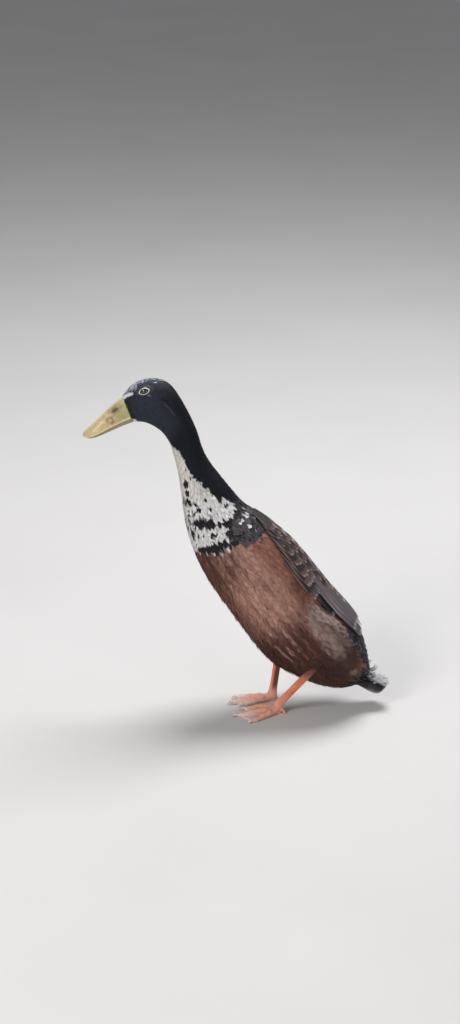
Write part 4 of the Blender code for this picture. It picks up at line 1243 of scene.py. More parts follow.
# %% Wing tiers
# Each tier: its template, feathers in a row, rows and the step between them, the places of
# root and tip of its first row, the turns of its innermost tips and of its outermost ones
# (degrees from the back line, or from the wing's edge if not above 0), how far in the roots
# lie, the half width, the heights of root and tip, and its tone.
WING_TIERS = (
    ("core", COVERT_VANE, 6, 8, 0.64, 8.85, 10.5, 3.0, -9.0, 1.0, 8.0, 0.2, 1.2, 0.1),
    ("primaries", FLIGHT_VANE, 8, 1, 0.0, 12.4, 16.3, 4.0, 21.0, 1.7, 4.6, 1.0, 5.0, 0.9),
    ("secondaries", FLIGHT_VANE, 9, 1, 0.0, 11.4, 14.15, 21.0, 0.0, 0.93, 4.7, 1.3, 3.4, 0.5),
    ("tertials", FLIGHT_VANE, 5, 1, 0.0, 11.2, 15.6, 4.0, 27.0, 1.06, 7.0, 1.9, 7.4, 0.9),
    ("greater_coverts", ROUND_VANE, 8, 2, 0.46, 10.70, 12.40, 7.0, 0.0, 0.92, 5.7, 1.6, 4.6, 0.1),
    ("median_coverts", ROUND_VANE, 7, 3, 0.42, 9.95, 11.20, 7.0, 0.0, 0.90, 6.0, 1.5, 4.8, 0.1),
    ("lesser_coverts", ROUND_VANE, 6, 5, 0.40, 8.75, 9.60, 5.0, 0.0, 0.86, 5.6, 1.1, 4.2, 0.1),
    ("scapulars", ROUND_VANE, 3, 8, 0.44, 8.75, 10.0, 4.0, 16.0, 0.85, 6.0, 2.2, 5.4, 0.1),
    ("back_line", COVERT_VANE, 2, 12, 0.46, 9.1, 10.6, 1.6, 4.2, 1.0, 3.2, 2.6, 6.4, 0.22),
)
print("tiers:", ", ".join(tier[0] for tier in WING_TIERS))


# %% One tier
BODY_RADIUS = 50.0


def wing_tier(name, side, draw, tier):
    label, template, count, rows, step, root, tip, inner, outer, lean, half, low, high, tone = tier
    starts, ends = [], []
    for row in range(rows):
        root_place, tip_place = root + step * row, tip + step * row
        edge = wing_edge(tip_place - 0.2) * 180.0 - math.degrees(half / BODY_RADIUS)
        last = outer if outer > 0.0 else edge + outer
        share = (np.arange(count) + 0.35 * (row % 2)) / (count - 0.65)
        turn = inner + (last - inner) * share
        for found, place, turned in ((starts, root_place, turn * lean), (ends, tip_place, turn)):
            turned = np.radians(turned + draw.normal(0.0, 0.5, count)) * side
            found.append(np.stack([place + draw.normal(0.0, 0.04, count), turned], -1))
    starts, ends = np.concatenate(starts), np.concatenate(ends)
    total = len(starts)
    halves = half * draw.uniform(0.94, 1.06, total)
    highs = high + draw.normal(0.0, 0.12, total)
    return laid_feathers(
        f"{name}_{label}", template, starts, ends, halves, low, highs, draw.random(total),
        wing_finish, 0.5 * side, np.full(total, tone), rise=0.7,
    )


# %% Both wings
for name, side, node in (("left_wing", LEFT, "wing_left"), ("right_wing", RIGHT, "wing_right")):
    draw = np.random.default_rng(SEED + 20 + side)
    for tier in WING_TIERS:
        dress(wing_tier(name, side, draw, tier), "wing feather", node)


# %% [markdown]
# ## The tail
#
# A short fan of stiff feathers, coverts over and under it, soft white down towards its end
# and the drake's curled feathers, which stand up and roll forward. These leave the body, so
# they aren't laid on it: each one follows a line of points in space.


# %% Tail finish
tail_finish, bench, shader = new_material("tail feathers", 0.5, Specular_IOR_Level=0.35)
_, _, _, chance, pattern = vane_reads(bench, 26.0)
tone = bench.attribute("tone", "Fac")
TAIL_TONES = (
    (0.0, (0.014, 0.013, 0.016)), (0.35, (0.050, 0.044, 0.048)),
    (0.7, (0.36, 0.36, 0.39)), (1.0, (0.88, 0.88, 0.90)),
)
colour = bench.layers(
    bench.ramp(tone, TAIL_TONES),
    (pattern["Edge"] * bench.rise(tone, 0.9, 0.2) * 0.5, (0.26, 0.23, 0.22)),
    (pattern["Shaft"] * bench.rise(tone, 0.9, 0.3) * 0.6, (0.26, 0.23, 0.20)),
    (pattern["Shade"] * 0.25, (0.0, 0.0, 0.0)),
)
bench.wire(
    shader,
    Base_Color=bench.tinted(colour, bench.mix(chance, (0.8, 0.8, 0.8), (1.2, 1.2, 1.2))),
    Roughness=pattern["Shade"] * 0.2 + 0.42,
    Normal=bench.bump(pattern["Height"], 0.25 * MM, 0.8),
)
print("tail finish:", len(bench.tree.nodes), "nodes")


# %% Free feathers
def free_feathers(name, template, lines, ups, halves, chance, tone, roots, finish):
    """Feathers along lines of points in space, each with its upward directions."""
    share, side, lift = template[0].T
    lines, roots = np.array(lines), np.array(roots)
    stations = lines.shape[1] - 1
    points = []
    for line, up, wide in zip(lines, ups, halves):
        place = np.clip(share, 0.0, 1.0) * stations
        ahead = unit(smooth_rows(np.gradient(line, axis=0), place))
        above = smooth_rows(up, place)
        above = unit(above - ahead * (above * ahead).sum(1, keepdims=True))
        sideways = np.cross(above, ahead) * (side * wide)[:, None]
        points.append(smooth_rows(line, place) + sideways + above * (lift * wide)[:, None])
    spots = lines[:, lines.shape[1] // 2]
    points = to_model(np.concatenate(points))
    return joined_piece(name, template, points, finish, roots, roots, spots, chance, tone)


# %% Bunches of free feathers
class Bunch:
    """Free feathers of one piece, gathered one by one."""

    def __init__(self):
        self.rows = []

    def grow(self, line, up, half, tone, root):
        self.rows.append((line, np.broadcast_to(up, line.shape), half, tone, root))

    def write(self, name, template):
        lines, ups, halves, tones, roots = zip(*self.rows)
        chance = draw.random(len(lines))
        tones = np.array(tones)
        made = free_feathers(name, template, lines, ups, halves, chance, tones, roots, tail_finish)
        dress(made, "tail feather", "tail")


# %% Lines and headings
def straight_line(start, heading, upwards, length, droop):
    share = np.linspace(0.0, 1.0, 6)[:, None]
    return start + heading * length * share - upwards * droop * share**2


def turned_down(vector, angle):
    """A vector turned about the Y axis, so that +X tips down."""
    x, y, z = vector
    return np.array((x * math.cos(angle) + z * math.sin(angle), y, z * math.cos(angle) - x * math.sin(angle)))


# %% Tail fan
TAIL_ROOT = np.array((158.0, 0.0, 45.0))
TAIL_DROP, TAIL_SPREAD, TAIL_LENGTH = math.radians(21.0), math.radians(21.0), 48.0
FAN_A_SIDE, FAN_HALF_WIDTH = 8, 5.6
draw = np.random.default_rng(SEED + 60)
fan = Bunch()
for side in (LEFT, RIGHT):
    for i in range(FAN_A_SIDE):
        share = (i + 0.5) / FAN_A_SIDE
        swing = -side * TAIL_SPREAD * share
        heading = turned_down((math.cos(swing), math.sin(swing), 0.0), TAIL_DROP)
        lean = 0.55 * share
        upwards = turned_down((0.0, -side * math.sin(lean), math.cos(lean)), TAIL_DROP)
        start = TAIL_ROOT + (0.0, -side * 9.0 * share, 0.0) - upwards * (0.7 * i + 2.6 * share**2)
        line = straight_line(start, heading, upwards, TAIL_LENGTH * (1.0 - 0.16 * share), 1.5)
        tone = 0.20 + 0.25 * share + 0.1 * (i == FAN_A_SIDE - 1)
        fan.grow(line, upwards, FAN_HALF_WIDTH, tone, (20.4, side * (0.3 + share)))
fan.write("tail_fan", FLIGHT_VANE)


# %% Tail coverts, over and under the fan
COVERT_TIERS = 3
coverts = Bunch()
for over, depth, darkest, spread in ((1, 5.0, 0.05, 1.2), (-1, 5.4, 0.2, 1.9)):
    for tier in range(COVERT_TIERS):
        above = COVERT_TIERS - tier
        for i in range(-5, 6):
            share = i / 5 + draw.normal(0.0, 0.03)
            level = TAIL_DROP + (0.10 + 0.07 * above) * over
            heading = turned_down((math.cos(0.5 * share), math.sin(0.5 * share), 0.0), level)
            upwards = turned_down((0.0, 0.45 * share * over, 1.0), level)
            raised = over * (depth - 0.9 * above) - 0.6 - over * 2.6 * share**2
            start = TAIL_ROOT + (4.0 - 7.0 * tier, 11.0 * share, 0.0) + upwards * raised
            length = 26.0 * (1.0 - 0.2 * abs(share)) * draw.uniform(0.9, 1.1)
            line = straight_line(start, heading, upwards * over, length, 1.0)
            tone = darkest + 0.3 * draw.random()
            coverts.grow(line, upwards * over, 4.6, tone, (19.8 + 0.2 * tier, share * spread))
coverts.write("tail_coverts", COVERT_VANE)


# %% White down on the tail, thickest towards its end
DOWN_TUFTS = 430
down = Bunch()
ahead, above = turned_down((1.0, 0.0, 0.0), TAIL_DROP), turned_down((0.0, 0.0, 1.0), TAIL_DROP)
for i in range(DOWN_TUFTS):
    reach, aside = draw.uniform(12.0, 42.0), draw.uniform(-1.0, 1.0)
    swing = 0.8 * aside + draw.normal(0.0, 0.35)
    level = TAIL_DROP - draw.uniform(0.0, 0.75)
    heading = turned_down((math.cos(swing), math.sin(swing), 0.0), level)
    upwards = turned_down((0.0, 0.3 * math.sin(swing), 1.0), level)
    start = TAIL_ROOT + ahead * reach + above * draw.uniform(0.0, 4.5) + (0.0, 9.0 * aside, 0.0)
    line = straight_line(start, heading, upwards, draw.uniform(6.0, 13.0), -draw.uniform(0.0, 3.0))
    down.grow(line, upwards, 1.5, draw.uniform(0.88, 1.0), (20.2 + 0.02 * reach, 0.7 * aside))
down.write("tail_down", LONG_TUFT)


# %% The drake's curls
# Each curl: how far aside it is rooted, its size, its half width, its tone, its root's turn.
CURLS = ((-3.4, 1.0, 2.5, 0.98, 0.2), (3.6, 0.86, 2.2, 0.6, -0.2), (0.2, 0.93, 2.4, 0.9, 0.0))
CURL_HEADING, CURL_SWEEP, CURL_STEPS = math.radians(-7.0), math.radians(285.0), 11
CURL_VANE = vane_template(4, 36, 0.08, 0.05, 0.7, 0.5)


def upright_direction(turn):
    """A direction in the bird's middle plane, a turn above the way back."""
    return np.array((math.cos(turn), 0.0, math.sin(turn)))


curls = Bunch()
for offset, grow, half, tone, turned in CURLS:
    radius = 7.0 * grow
    start = np.array((168.0, offset, 52.0))
    foot = start + upright_direction(CURL_HEADING) * 14.0 * grow
    centre = foot + upright_direction(CURL_HEADING + math.pi / 2) * radius
    path = [start, (start + foot) / 2, foot]
    for i in range(1, CURL_STEPS + 1):
        turn = CURL_HEADING - math.pi / 2 + CURL_SWEEP * i / CURL_STEPS
        path.append(centre + upright_direction(turn) * radius * (1.0 - 0.28 * i / CURL_STEPS))
    path = np.array(path)
    ahead = unit(np.gradient(path, axis=0))
    upwards = np.stack([-ahead[:, 2], 0 * ahead[:, 0], ahead[:, 0]], -1)
    curls.grow(path, upwards, half, tone, (20.5, turned))
curls.write("tail_curls", CURL_VANE)


# %% [markdown]
# ## Feathered thighs
#
# Short tufts run down each thigh and end in a ragged fringe at the hock, where the bare leg
# begins. They are laid on the sleeves of the skin in the same way as the tail's down.


# %% Thigh coat
THIGH_TUFTS = 420
for which in LEGS:
    start = draw.uniform(0.30, 0.93, THIGH_TUFTS)
    turned = draw.random(THIGH_TUFTS)
    reach = draw.uniform(0.14, 0.22, THIGH_TUFTS)
    swerve = draw.normal(0.0, 0.03, THIGH_TUFTS)
    stations = []
    for station in np.linspace(0.0, 1.0, 5):
        along = np.minimum(start + reach * station, 1.06)
        stations.append(thigh_on(which, 0.9 - 1.1 * station)(turned + swerve * station, along))
    lines = np.stack(stations, 1)
    outer = thigh_on(which, -2.0)(turned, start) - thigh_on(which, 0.0)(turned, start)
    ups = np.repeat(outer[:, None], lines.shape[1], 1)
    thigh = free_feathers(
        f"thigh_coat_{which}", LONG_TUFT, lines, ups, np.full(THIGH_TUFTS, 2.3),
        draw.random(THIGH_TUFTS), np.zeros(THIGH_TUFTS), nearest_lie(lines[:, 0]), body_finish,
    )
    dress(thigh, "chestnut feather", f"thigh_{which}")


# %% Fringe over the hocks
def hock_fringe(which, seed):
    """Tufts of the flank that hang over the place where the bare leg leaves the body."""
    (_, hock, ankle), _, _ = leg_places(which)
    at_place, at_turn = nearest_lie([hock + (ankle - hock) * 0.10])[0]

    def over_the_hock(place, turn):
        return ((place - at_place + 0.40) / 0.95) ** 2 + ((turn - at_turn) / 0.28) ** 2 < 1.0

    return coat_piece(
        f"hock_fringe_{which}", LONG_TUFT, at_place - 1.4, at_place + 0.55, (2.0, 2.3), (12.0, 2.0),
        (0.4, 4.6), body_finish, over_the_hock, seed, 0.3,
    )


for which, seed in (("left", 11), ("right", 12)):
    dress(hock_fringe(which, seed), "chestnut feather", f"thigh_{which}")


# %% [markdown]
# ## The bill
#
# The upper half is a shallow trough turned over, high at the face and flattened towards its
# rounded tip, where the hard nail sits. The lower half is a thin strap inside its edge. Both
# are bent grids whose sections repeat the solid model's, with a raised lip along the mouth,
# nostrils pressed in and the nail raised.


# %% Bill finish
YELLOW, DEEP_YELLOW, GREEN_YELLOW = (0.50, 0.400, 0.215), (0.42, 0.31, 0.13), (0.31, 0.270, 0.105)
TIP_PALE, RIDGE_PALE, LIP_PALE = (0.43, 0.385, 0.275), (0.58, 0.52, 0.33), (0.62, 0.56, 0.36)
SPECK_BROWN, OLIVE, NOSTRIL_SHADE = (0.19, 0.095, 0.035), (0.150, 0.100, 0.034), (0.085, 0.050, 0.014)
BLOTCH_BROWN, RING_BROWN, DULL = (0.38, 0.20, 0.10), (0.170, 0.058, 0.022), (0.30, 0.22, 0.09)
BASE_PALE, UNDERSIDE = (0.68, 0.65, 0.52), (0.20, 0.175, 0.085)
BILL_SLOPE = math.radians(42.0)
bill_finish, bench, shader = new_material(
    "bill", 0.34, Coat_Weight=0.25, Coat_Roughness=0.25, Subsurface_Weight=0.06
)
spot = bench.attribute("spot")
bill_x, bill_y, bill_z = bench.parts(spot)
around, along, _ = bench.parts(bench.uv("vane"))
mottle = bench.noise(spot, 0.22, 3.0)
fine = bench.noise(spot, 1.4, 3.0)
wisp = fine - 0.5
lip = bench.math("MINIMUM", around, abs(around - 0.82))
specks = bench.near(bill_x, bill_z, (-153.5, 404.5), (15.0, 10.0), 0.8)
specks = specks * bench.rise(fine + mottle * 0.3, 0.66, 0.74)
olive = bench.slanted(bill_x, bill_z, (-152.6, 413.6), (10.0, 4.6), BILL_SLOPE, 0.8)
nostril_shade = bench.slanted(bill_x, bill_z, (-153.6, 412.6), (5.4, 1.9), BILL_SLOPE, 0.5)
blotch_x, blotch_z = bill_x + 159.8 + wisp * 5.0, bill_z - 400.0 - wisp * 4.0
spread = bench.math("SQRT", blotch_x * blotch_x + blotch_z * blotch_z)
ring = bench.between(spread, 2.8, 4.8, 1.1) * bench.rise(mottle, 0.30, 0.55)
base_line = bench.rise(along + wisp * 0.09, 0.050, 0.020) * bench.rise(around, 0.62, 0.30)
colour = bench.layers(
    bench.mix(bench.rise(mottle, 0.35, 0.7), YELLOW, DEEP_YELLOW),
    (bench.rise(along + wisp * 0.3, 0.36, 0.08), GREEN_YELLOW),
    (bench.rise(along, 0.66, 0.97), TIP_PALE),
    (bench.rise(abs(bill_y), 5.2, 1.8) * 0.6, RIDGE_PALE),
    (bench.rise(lip, 0.05, 0.02) * 0.7, LIP_PALE),
    (specks * 0.65, SPECK_BROWN),
    (olive * bench.rise(mottle, 0.1, 0.6) * 0.85, OLIVE),
    # Painted shade: the nostril's opening is darkened.
    (nostril_shade, NOSTRIL_SHADE),
    (bench.rise(spread, 7.0, 4.0) * 0.55, BLOTCH_BROWN),
    (ring * 0.95, RING_BROWN),
    (bench.rise(fine, 0.55, 0.7) * 0.25, DULL),
    (base_line * 0.85, BASE_PALE),
    (bench.rise(bench.attribute("under", "Fac"), 0.4, 0.6) * 0.8, UNDERSIDE),
)
pores = bench.noise(spot, 0.9, 4.0, 0.65)
bench.wire(
    shader,
    Base_Color=colour,
    Roughness=fine * 0.25 + 0.26,
    Normal=bench.bump(pores + mottle * 1.5, 0.45 * MM, 0.8),
)
print("bill finish:", len(bench.tree.nodes), "nodes")


# %% Bill shape
# The sections from the face to the tip: mouth edge (x, z), ridge (x, z), half width.
BILL_SECTIONS = np.array(
    (
        (-133.0, 403.0, -142.9, 429.0, 10.6),
        (-146.0, 397.0, -154.0, 421.0, 10.2),
        (-160.0, 390.2, -168.5, 407.0, 10.6),
        (-173.0, 383.6, -181.0, 394.5, 11.9),
        (-183.0, 379.0, -189.5, 386.8, 11.6),
        (-190.5, 376.8, -194.2, 381.4, 8.0),
        (-194.5, 376.4, -196.0, 378.6, 3.6),
    )
)
LOWER_DEPTHS = np.array(((7.0,), (6.2,), (5.6,), (5.0,), (4.2,), (3.2,)))
LOWER_INSET, LOWER_GAP = 1.3, 0.3
NOSTRIL, NOSTRIL_HALVES, NOSTRIL_DEPTH = (-155.0, 412.8), (3.6, 1.5), 1.9
NAIL, NAIL_HALVES, NAIL_RISE = (-191.5, 0.0, 380.4), (5.4, 4.2, 5.0), 0.8
OVER_SHARE, EDGE_POWER = 0.82, 0.85


def bill_frame(place):
    ex, ez, rx, rz, half = np.moveaxis(smooth_rows(BILL_SECTIONS, place), -1, 0)
    edge = np.stack([ex, 0 * ex, ez], -1)
    return edge, np.stack([rx - ex, 0 * ex, rz - ez], -1), half


def trough(round_share_):
    """Over from one mouth edge to the other and straight back: turn, way back, sideways share."""
    over = np.clip(round_share_ / OVER_SHARE, 0.0, 1.0) * math.pi
    back = np.clip((round_share_ - OVER_SHARE) / (1.0 - OVER_SHARE), 0.0, 1.0)
    return over, back, rounded(np.where(back > 0.0, -1.0 + 2.0 * back, np.cos(over)), EDGE_POWER)


# %% Upper bill
def upper_bill_on(round_share_, along):
    """Over the top from one edge to the other, then back across the palate."""
    edge, rise, half = bill_frame(along * (len(BILL_SECTIONS) - 1))
    over, back, sideways = trough(round_share_)
    sin = np.where(back > 0.0, 0.0, np.sin(over))
    hollow = unit(rise) * (0.9 * np.sin(math.pi * back))[:, None]
    points = edge + rise * (np.maximum(sin, 0.0) ** 1.15)[:, None] + hollow
    points[:, 1] += half * sideways
    lip = np.where(back > 0.0, 0.0, np.exp(-((np.minimum(over, math.pi - over) / 0.16) ** 2)))
    points[:, 1] += np.sign(points[:, 1]) * 0.45 * lip * np.minimum(1.0, (1.0 - along) * 8.0)
    ahead, upwards = NOSTRIL[0] - points[:, 0], points[:, 2] - NOSTRIL[1]
    cos_slope, sin_slope = math.cos(BILL_SLOPE), math.sin(BILL_SLOPE)
    lengthwise = (ahead * cos_slope - upwards * sin_slope) / NOSTRIL_HALVES[0]
    upright = (upwards * cos_slope + ahead * sin_slope) / NOSTRIL_HALVES[1]
    pit = np.exp(-(lengthwise**2) - upright**2)
    points[:, 1] -= np.sign(points[:, 1]) * NOSTRIL_DEPTH * pit * (sin > 0.05)
    nail_away = (points - NAIL) / NAIL_HALVES
    bump = np.exp(-((nail_away**2).sum(1) ** 2)) * (sin > 0.0)
    points[:, 2] += NAIL_RISE * bump
    points[:, 0] -= 0.2 * bump
    return points


# %% Lower bill
def lower_bill_on(round_share_, along):
    place = along * (len(LOWER_DEPTHS) - 1)
    edge, rise, half = bill_frame(place)
    under, back, sideways = trough(round_share_)
    depth = smooth_rows(LOWER_DEPTHS, place)[:, 0]
    down = LOWER_GAP + depth * np.where(back > 0.0, 0.0, np.maximum(np.sin(under), 0.0)) ** 0.7
    points = edge - unit(rise) * down[:, None]
    points[:, 1] += np.maximum(half - LOWER_INSET, 1.5) * sideways
    return points


# %% Bill pieces
for name, shape, steps, node in (
    ("bill_top", upper_bill_on, (76, 72), "bill_upper"),
    ("bill_underside", lower_bill_on, (48, 56), "bill_lower"),
):
    bm = bmesh.new()
    bent_grid(bm, steps, shape)
    piece = new_piece(name, bm, bill_finish)
    points = write_bird_places(piece)
    write_numbers(piece.data, "under", np.full(len(points), node == "bill_lower"))
    piece.data.set_sharp_from_angle(angle=math.radians(60.0))
    dress(piece, "bill", node)
    print(f"{name}: {len(points)} points")


# %% [markdown]
# ## The eyes
#
# A duck's eye is a dark brown ball deep in the head, with a wet shine and a thin pale rim of
# lid. The ball is a sphere at the solid model's place. The lid is a thin ring drawn out into
# an almond, with the skin's dark socket behind it.


# %% Eye finish
EYE_RADIUS = 6.4
PUPIL, IRIS_DARK, IRIS_PALE = (0.003, 0.003, 0.003), (0.016, 0.009, 0.006), (0.045, 0.024, 0.014)
eye_finish, bench, shader = new_material(
    "eye", 0.06, Coat_Weight=1.0, Coat_Roughness=0.02, IOR=1.4
)
gaze = bench.attribute("gaze", "Fac")
iris = bench.mix(bench.noise(bench.attribute("spot"), 2.2), IRIS_DARK, IRIS_PALE)
pupil, white = bench.rise(gaze, 0.50, 0.46), bench.rise(gaze, 0.86, 0.98)
bench.wire(shader, Base_Color=bench.layers(iris, (pupil, PUPIL), (white, (0.004, 0.003, 0.003))))


# %% Lid finish
LID_WHITE, LID_GREY, LID_CREASE = (0.92, 0.92, 0.94), (0.62, 0.62, 0.66), (0.74, 0.74, 0.77)
lid_finish, bench, shader = new_material("eyelid", 0.5)
spot = bench.attribute("spot")
lid_z, out_share = bench.parts(spot)[2], bench.parts(bench.uv("vane"))[1]
wrinkle = bench.noise(spot, 1.2, 3.0)
rim_colour = bench.mix(bench.rise(lid_z, 440.5, 443.5), LID_WHITE, LID_GREY)
rim_colour = bench.mix(bench.rise(wrinkle, 0.3, 0.7), rim_colour, LID_CREASE)
colour = bench.layers(
    bench.mix(wrinkle, (0.008, 0.008, 0.012), (0.034, 0.035, 0.046)),
    (bench.rise(out_share, 0.25, 0.17), rim_colour),
    (bench.rise(out_share, 0.030, 0.015), (0.010, 0.008, 0.008)),
)
bench.wire(shader, Base_Color=colour, Normal=bench.bump(wrinkle, 0.35 * MM, 0.8))


# %% Lid shape
def eye_frame(side):
    middle = EYE_PLACE * np.array((1.0, side, 1.0))
    outward = unit(np.array((-0.16, -side * 0.96, 0.20)))
    slope = math.radians(17.0)
    ahead = np.array((-math.cos(slope), 0.0, -math.sin(slope)))
    lengthwise = unit(ahead - outward * (outward @ ahead))
    return middle, outward, lengthwise, np.cross(outward, lengthwise)


def lid_on(side):
    """place_on for the lids: a skin that hugs the ball and runs out under the feathers."""
    middle, outward, lengthwise, upright = eye_frame(side)

    def place_on(round_share_, out_share):
        turn = 2 * math.pi * round_share_
        corner = 1.0 + 0.16 * np.cos(turn) ** 8
        spoke = lengthwise * (np.cos(turn) * 1.16 * corner)[:, None]
        spoke = spoke + upright * (np.sin(turn) * 0.80)[:, None]
        size = 4.55 * (1.0 + 1.15 * out_share**1.2)
        away = np.linalg.norm(spoke, axis=1) * size
        ball = np.sqrt(np.maximum(EYE_RADIUS**2 - away**2, 0.0))
        rim = 0.55 * np.exp(-((out_share / 0.10) ** 2))
        fold = 0.22 * np.exp(-(((out_share - 0.42) / 0.10) ** 2)) * (np.sin(turn) > -0.2)
        height = np.maximum(ball + 0.30 - 0.2 * out_share, 3.9 - 2.9 * out_share**1.5)
        sunk = np.where(out_share < 0.02, -0.5, 0.0)
        return middle + spoke * size[:, None] + outward * (height + rim + fold + sunk)[:, None]

    return place_on


# %% Eyes and lids
for name, side in (("left", LEFT), ("right", RIGHT)):
    middle, outward, _, _ = eye_frame(side)
    bm = bmesh.new()
    bmesh.ops.create_uvsphere(bm, u_segments=40, v_segments=28, radius=EYE_RADIUS)
    bmesh.ops.translate(bm, verts=bm.verts, vec=middle)
    eye = new_piece(f"eyeball_{name}", bm, eye_finish)
    spokes = unit(write_bird_places(eye) - middle)
    write_numbers(eye.data, "gaze", np.linalg.norm(np.cross(spokes, outward), axis=1))
    dress(eye, "eye", f"eye_{name}")
    bm = bmesh.new()
    face_outwards(bm, bent_grid(bm, (56, 22), lid_on(side), capped=False), outward)
    lid = new_piece(f"eyelids_{name}", bm, lid_finish)
    write_bird_places(lid)
    dress(lid, "dark feather")
    print(f"eye {name}: ball {2 * EYE_RADIUS} mm across")


# %% [markdown]
# ## Legs and feet
#
# The shank is bare, with a row of scutes down its front and small scales round it. The toes
# are jointed and webbed, and the small hind toe only just touches the floor. The foot is
# modelled as closed tubes and two thin webs, which a voxel remesh then fuses into one skin,
# as welding them by hand would leave creases. The claws are horn and stay separate.


# %% Leg finish
ORANGE, DEEP_ORANGE, PINK_ORANGE = (0.90, 0.265, 0.130), (0.74, 0.195, 0.090), (0.94, 0.42, 0.30)
WEB_PINK, HOCK_BROWN = (0.95, 0.72, 0.65), (0.105, 0.036, 0.025)
SHADE_BROWN, CREASE_BROWN = (0.060, 0.018, 0.010), (0.20, 0.06, 0.03)
leg_finish, bench, shader = new_material("leg skin", 0.42, Subsurface_Weight=0.08, Coat_Weight=0.08)
spot = bench.attribute("spot")
leg_x, leg_y, leg_z = bench.parts(spot)
scales = bench.add("ShaderNodeTexVoronoi", feature="DISTANCE_TO_EDGE")
edges = bench.wired(scales, {"Vector": spot, "Scale": 0.62}, "Distance")
cell = bench.rise(edges, 0.0, 0.16)
mottle = bench.noise(spot, 0.16, 3.0)
web = bench.rise(leg_z, 9.0, 4.0) * bench.rise(leg_x, 48.0, 14.0)
behind = leg_x - (leg_z * 0.163 + 48.0)
far_leg = bench.rise(leg_y, 5.0, 12.0) * bench.rise(leg_z, 12.0, 22.0) * bench.rise(behind, -2.6, 0.2)
colour = bench.layers(
    bench.mix(bench.rise(mottle, 0.35, 0.7), ORANGE, DEEP_ORANGE),
    (bench.rise(leg_z, 34.0, 8.0), PINK_ORANGE),
    (web * 0.85, WEB_PINK),
    (bench.rise(leg_z, 47.0, 63.0) * 0.9, HOCK_BROWN),
    (far_leg * 0.92, SHADE_BROWN),
    (bench.rise(cell, 1.0, 0.0) * 0.24, CREASE_BROWN),
)
fine = bench.noise(spot, 2.2)
bench.wire(
    shader,
    Base_Color=colour,
    Roughness=mottle * 0.2 + 0.34,
    Normal=bench.bump(cell + fine * 0.5, 0.6 * MM, 0.9),
)
print("leg finish:", len(bench.tree.nodes), "nodes")


# %% Claw finish
claw_finish, bench, shader = new_material("claw", 0.3)
grow = bench.noise(bench.attribute("spot"), 0.5, 3.0)
horn = bench.mix(grow, (0.46, 0.33, 0.26), (0.68, 0.58, 0.52))
bench.wire(shader, Base_Color=horn, Normal=bench.bump(grow, 0.1 * MM, 0.6))


# %% Shank shape
# Stations down the leg: share from the hock to the ankle, and half sizes deep and wide.
SHANK = ((0.0, 6.8, 5.0), (0.16, 5.6, 3.7), (0.45, 5.0, 3.3), (0.78, 5.0, 3.4))
ABOVE_HOCK = ((0.80, 6.2, 4.6), (THIGH_SHARE, 6.4, 4.8))
ANKLE_END, ANKLE_HALVES = 4.5, (5.8, 4.6)
SCUTES, SCUTE_STEP = 30.0, 0.45


def shank_on(which):
    (hip, hock, ankle), _, _ = leg_places(which)
    down, thigh_axis = unit(ankle - hock), unit(hock - hip)
    rows = [(*(hip + (hock - hip) * share), *thigh_axis, *half) for share, *half in ABOVE_HOCK]
    for share, *half in SHANK:
        axis = unit(thigh_axis + down) if share == 0.0 else down
        rows.append((*(hock + (ankle - hock) * share), *axis, *half))
    rows.append((*(ankle - down * ANKLE_END), *down, *ANKLE_HALVES))
    rows = np.array(rows)
    tube = tube_rings(rows[:, :3], rows[:, 3:6], rows[:, 6], rows[:, 7])

    def scuted(round_share_, along):
        """The tube with shallow steps down its front, as the scutes overlap."""
        front = np.maximum(np.cos(2 * math.pi * round_share_), 0.0) ** 2
        step = (along * SCUTES) % 1.0
        points, opposite = tube(round_share_, along), tube(round_share_ + 0.5, along)
        return points + unit(points - opposite) * (SCUTE_STEP * front * (step - 0.5))[:, None]

    return scuted


# %% Legs
for which in LEGS:
    bm = bmesh.new()
    bent_grid(bm, (36, 150), shank_on(which))
    leg = new_piece(f"shank_{which}", bm, leg_finish)
    write_bird_places(leg)
    dress(leg, "leg", f"leg_{which}")
    print(f"shank {which}: {len(leg.data.polygons)} faces")


# %% Sizes of the feet
# Each toe: its length in millimetres and its turn from the foot's heading in degrees.
TOES = {"inner": (44.0, -22.0), "middle": (55.0, 0.0), "outer": (47.0, 29.0)}
TOE_ARCHES = {
    "left": {"inner": 4.2, "middle": 2.2, "outer": 0.6},
    "right": {"inner": 0.8, "middle": 0.6, "outer": 0.6},
}
TOE_JOINTS = (0.36, 0.64, 0.88)
TOE_ROOT, TOE_TIP, SOLE_SINK, WEB_THICKNESS = 4.9, 3.0, 0.5, 3.0
SPREADS = {"left": 1.0, "right": 0.62}
CLAW_LENGTH, CLAW_STATIONS = 7.8, np.array((-0.2, 0.1, 0.4, 0.7, 1.0))
CLAW_RADII = TOE_TIP * np.array((0.88, 0.80, 0.66, 0.44, 0.12))
HIND_LENGTH, HIND_TURN, HIND_RADII = 9.5, -34.0, (2.7, 2.6, 2.0, 1.2)
VOXEL = 0.62
UP = np.array((0.0, 0.0, 1.0))
print("toes:", {toe: length for toe, (length, _) in TOES.items()}, "mm long")


# %% Toes
def toe_line(ankle, turn, length, arch):
    ahead = np.array((-math.cos(turn), -math.sin(turn), 0.0))
    share = np.linspace(0.0, 1.0, 26)
    radius = TOE_ROOT + (TOE_TIP - TOE_ROOT) * share
    for joint in TOE_JOINTS:
        radius = radius * (1.0 + 0.15 * np.exp(-(((share - joint) / 0.045) ** 2)))
    rest = radius - SOLE_SINK
    start = ankle[2] - 2.6
    drop = np.minimum(share / 0.28, 1.0)
    line = ankle + ahead * (length * share)[:, None]
    line[:, 2] = start + (rest - start) * (1 - (1 - drop) ** 2)
    line[:, 2] += arch * np.sin(math.pi * np.clip((share - 0.05) / 0.9, 0.0, 1.0)) ** 2
    return line, radius, ahead


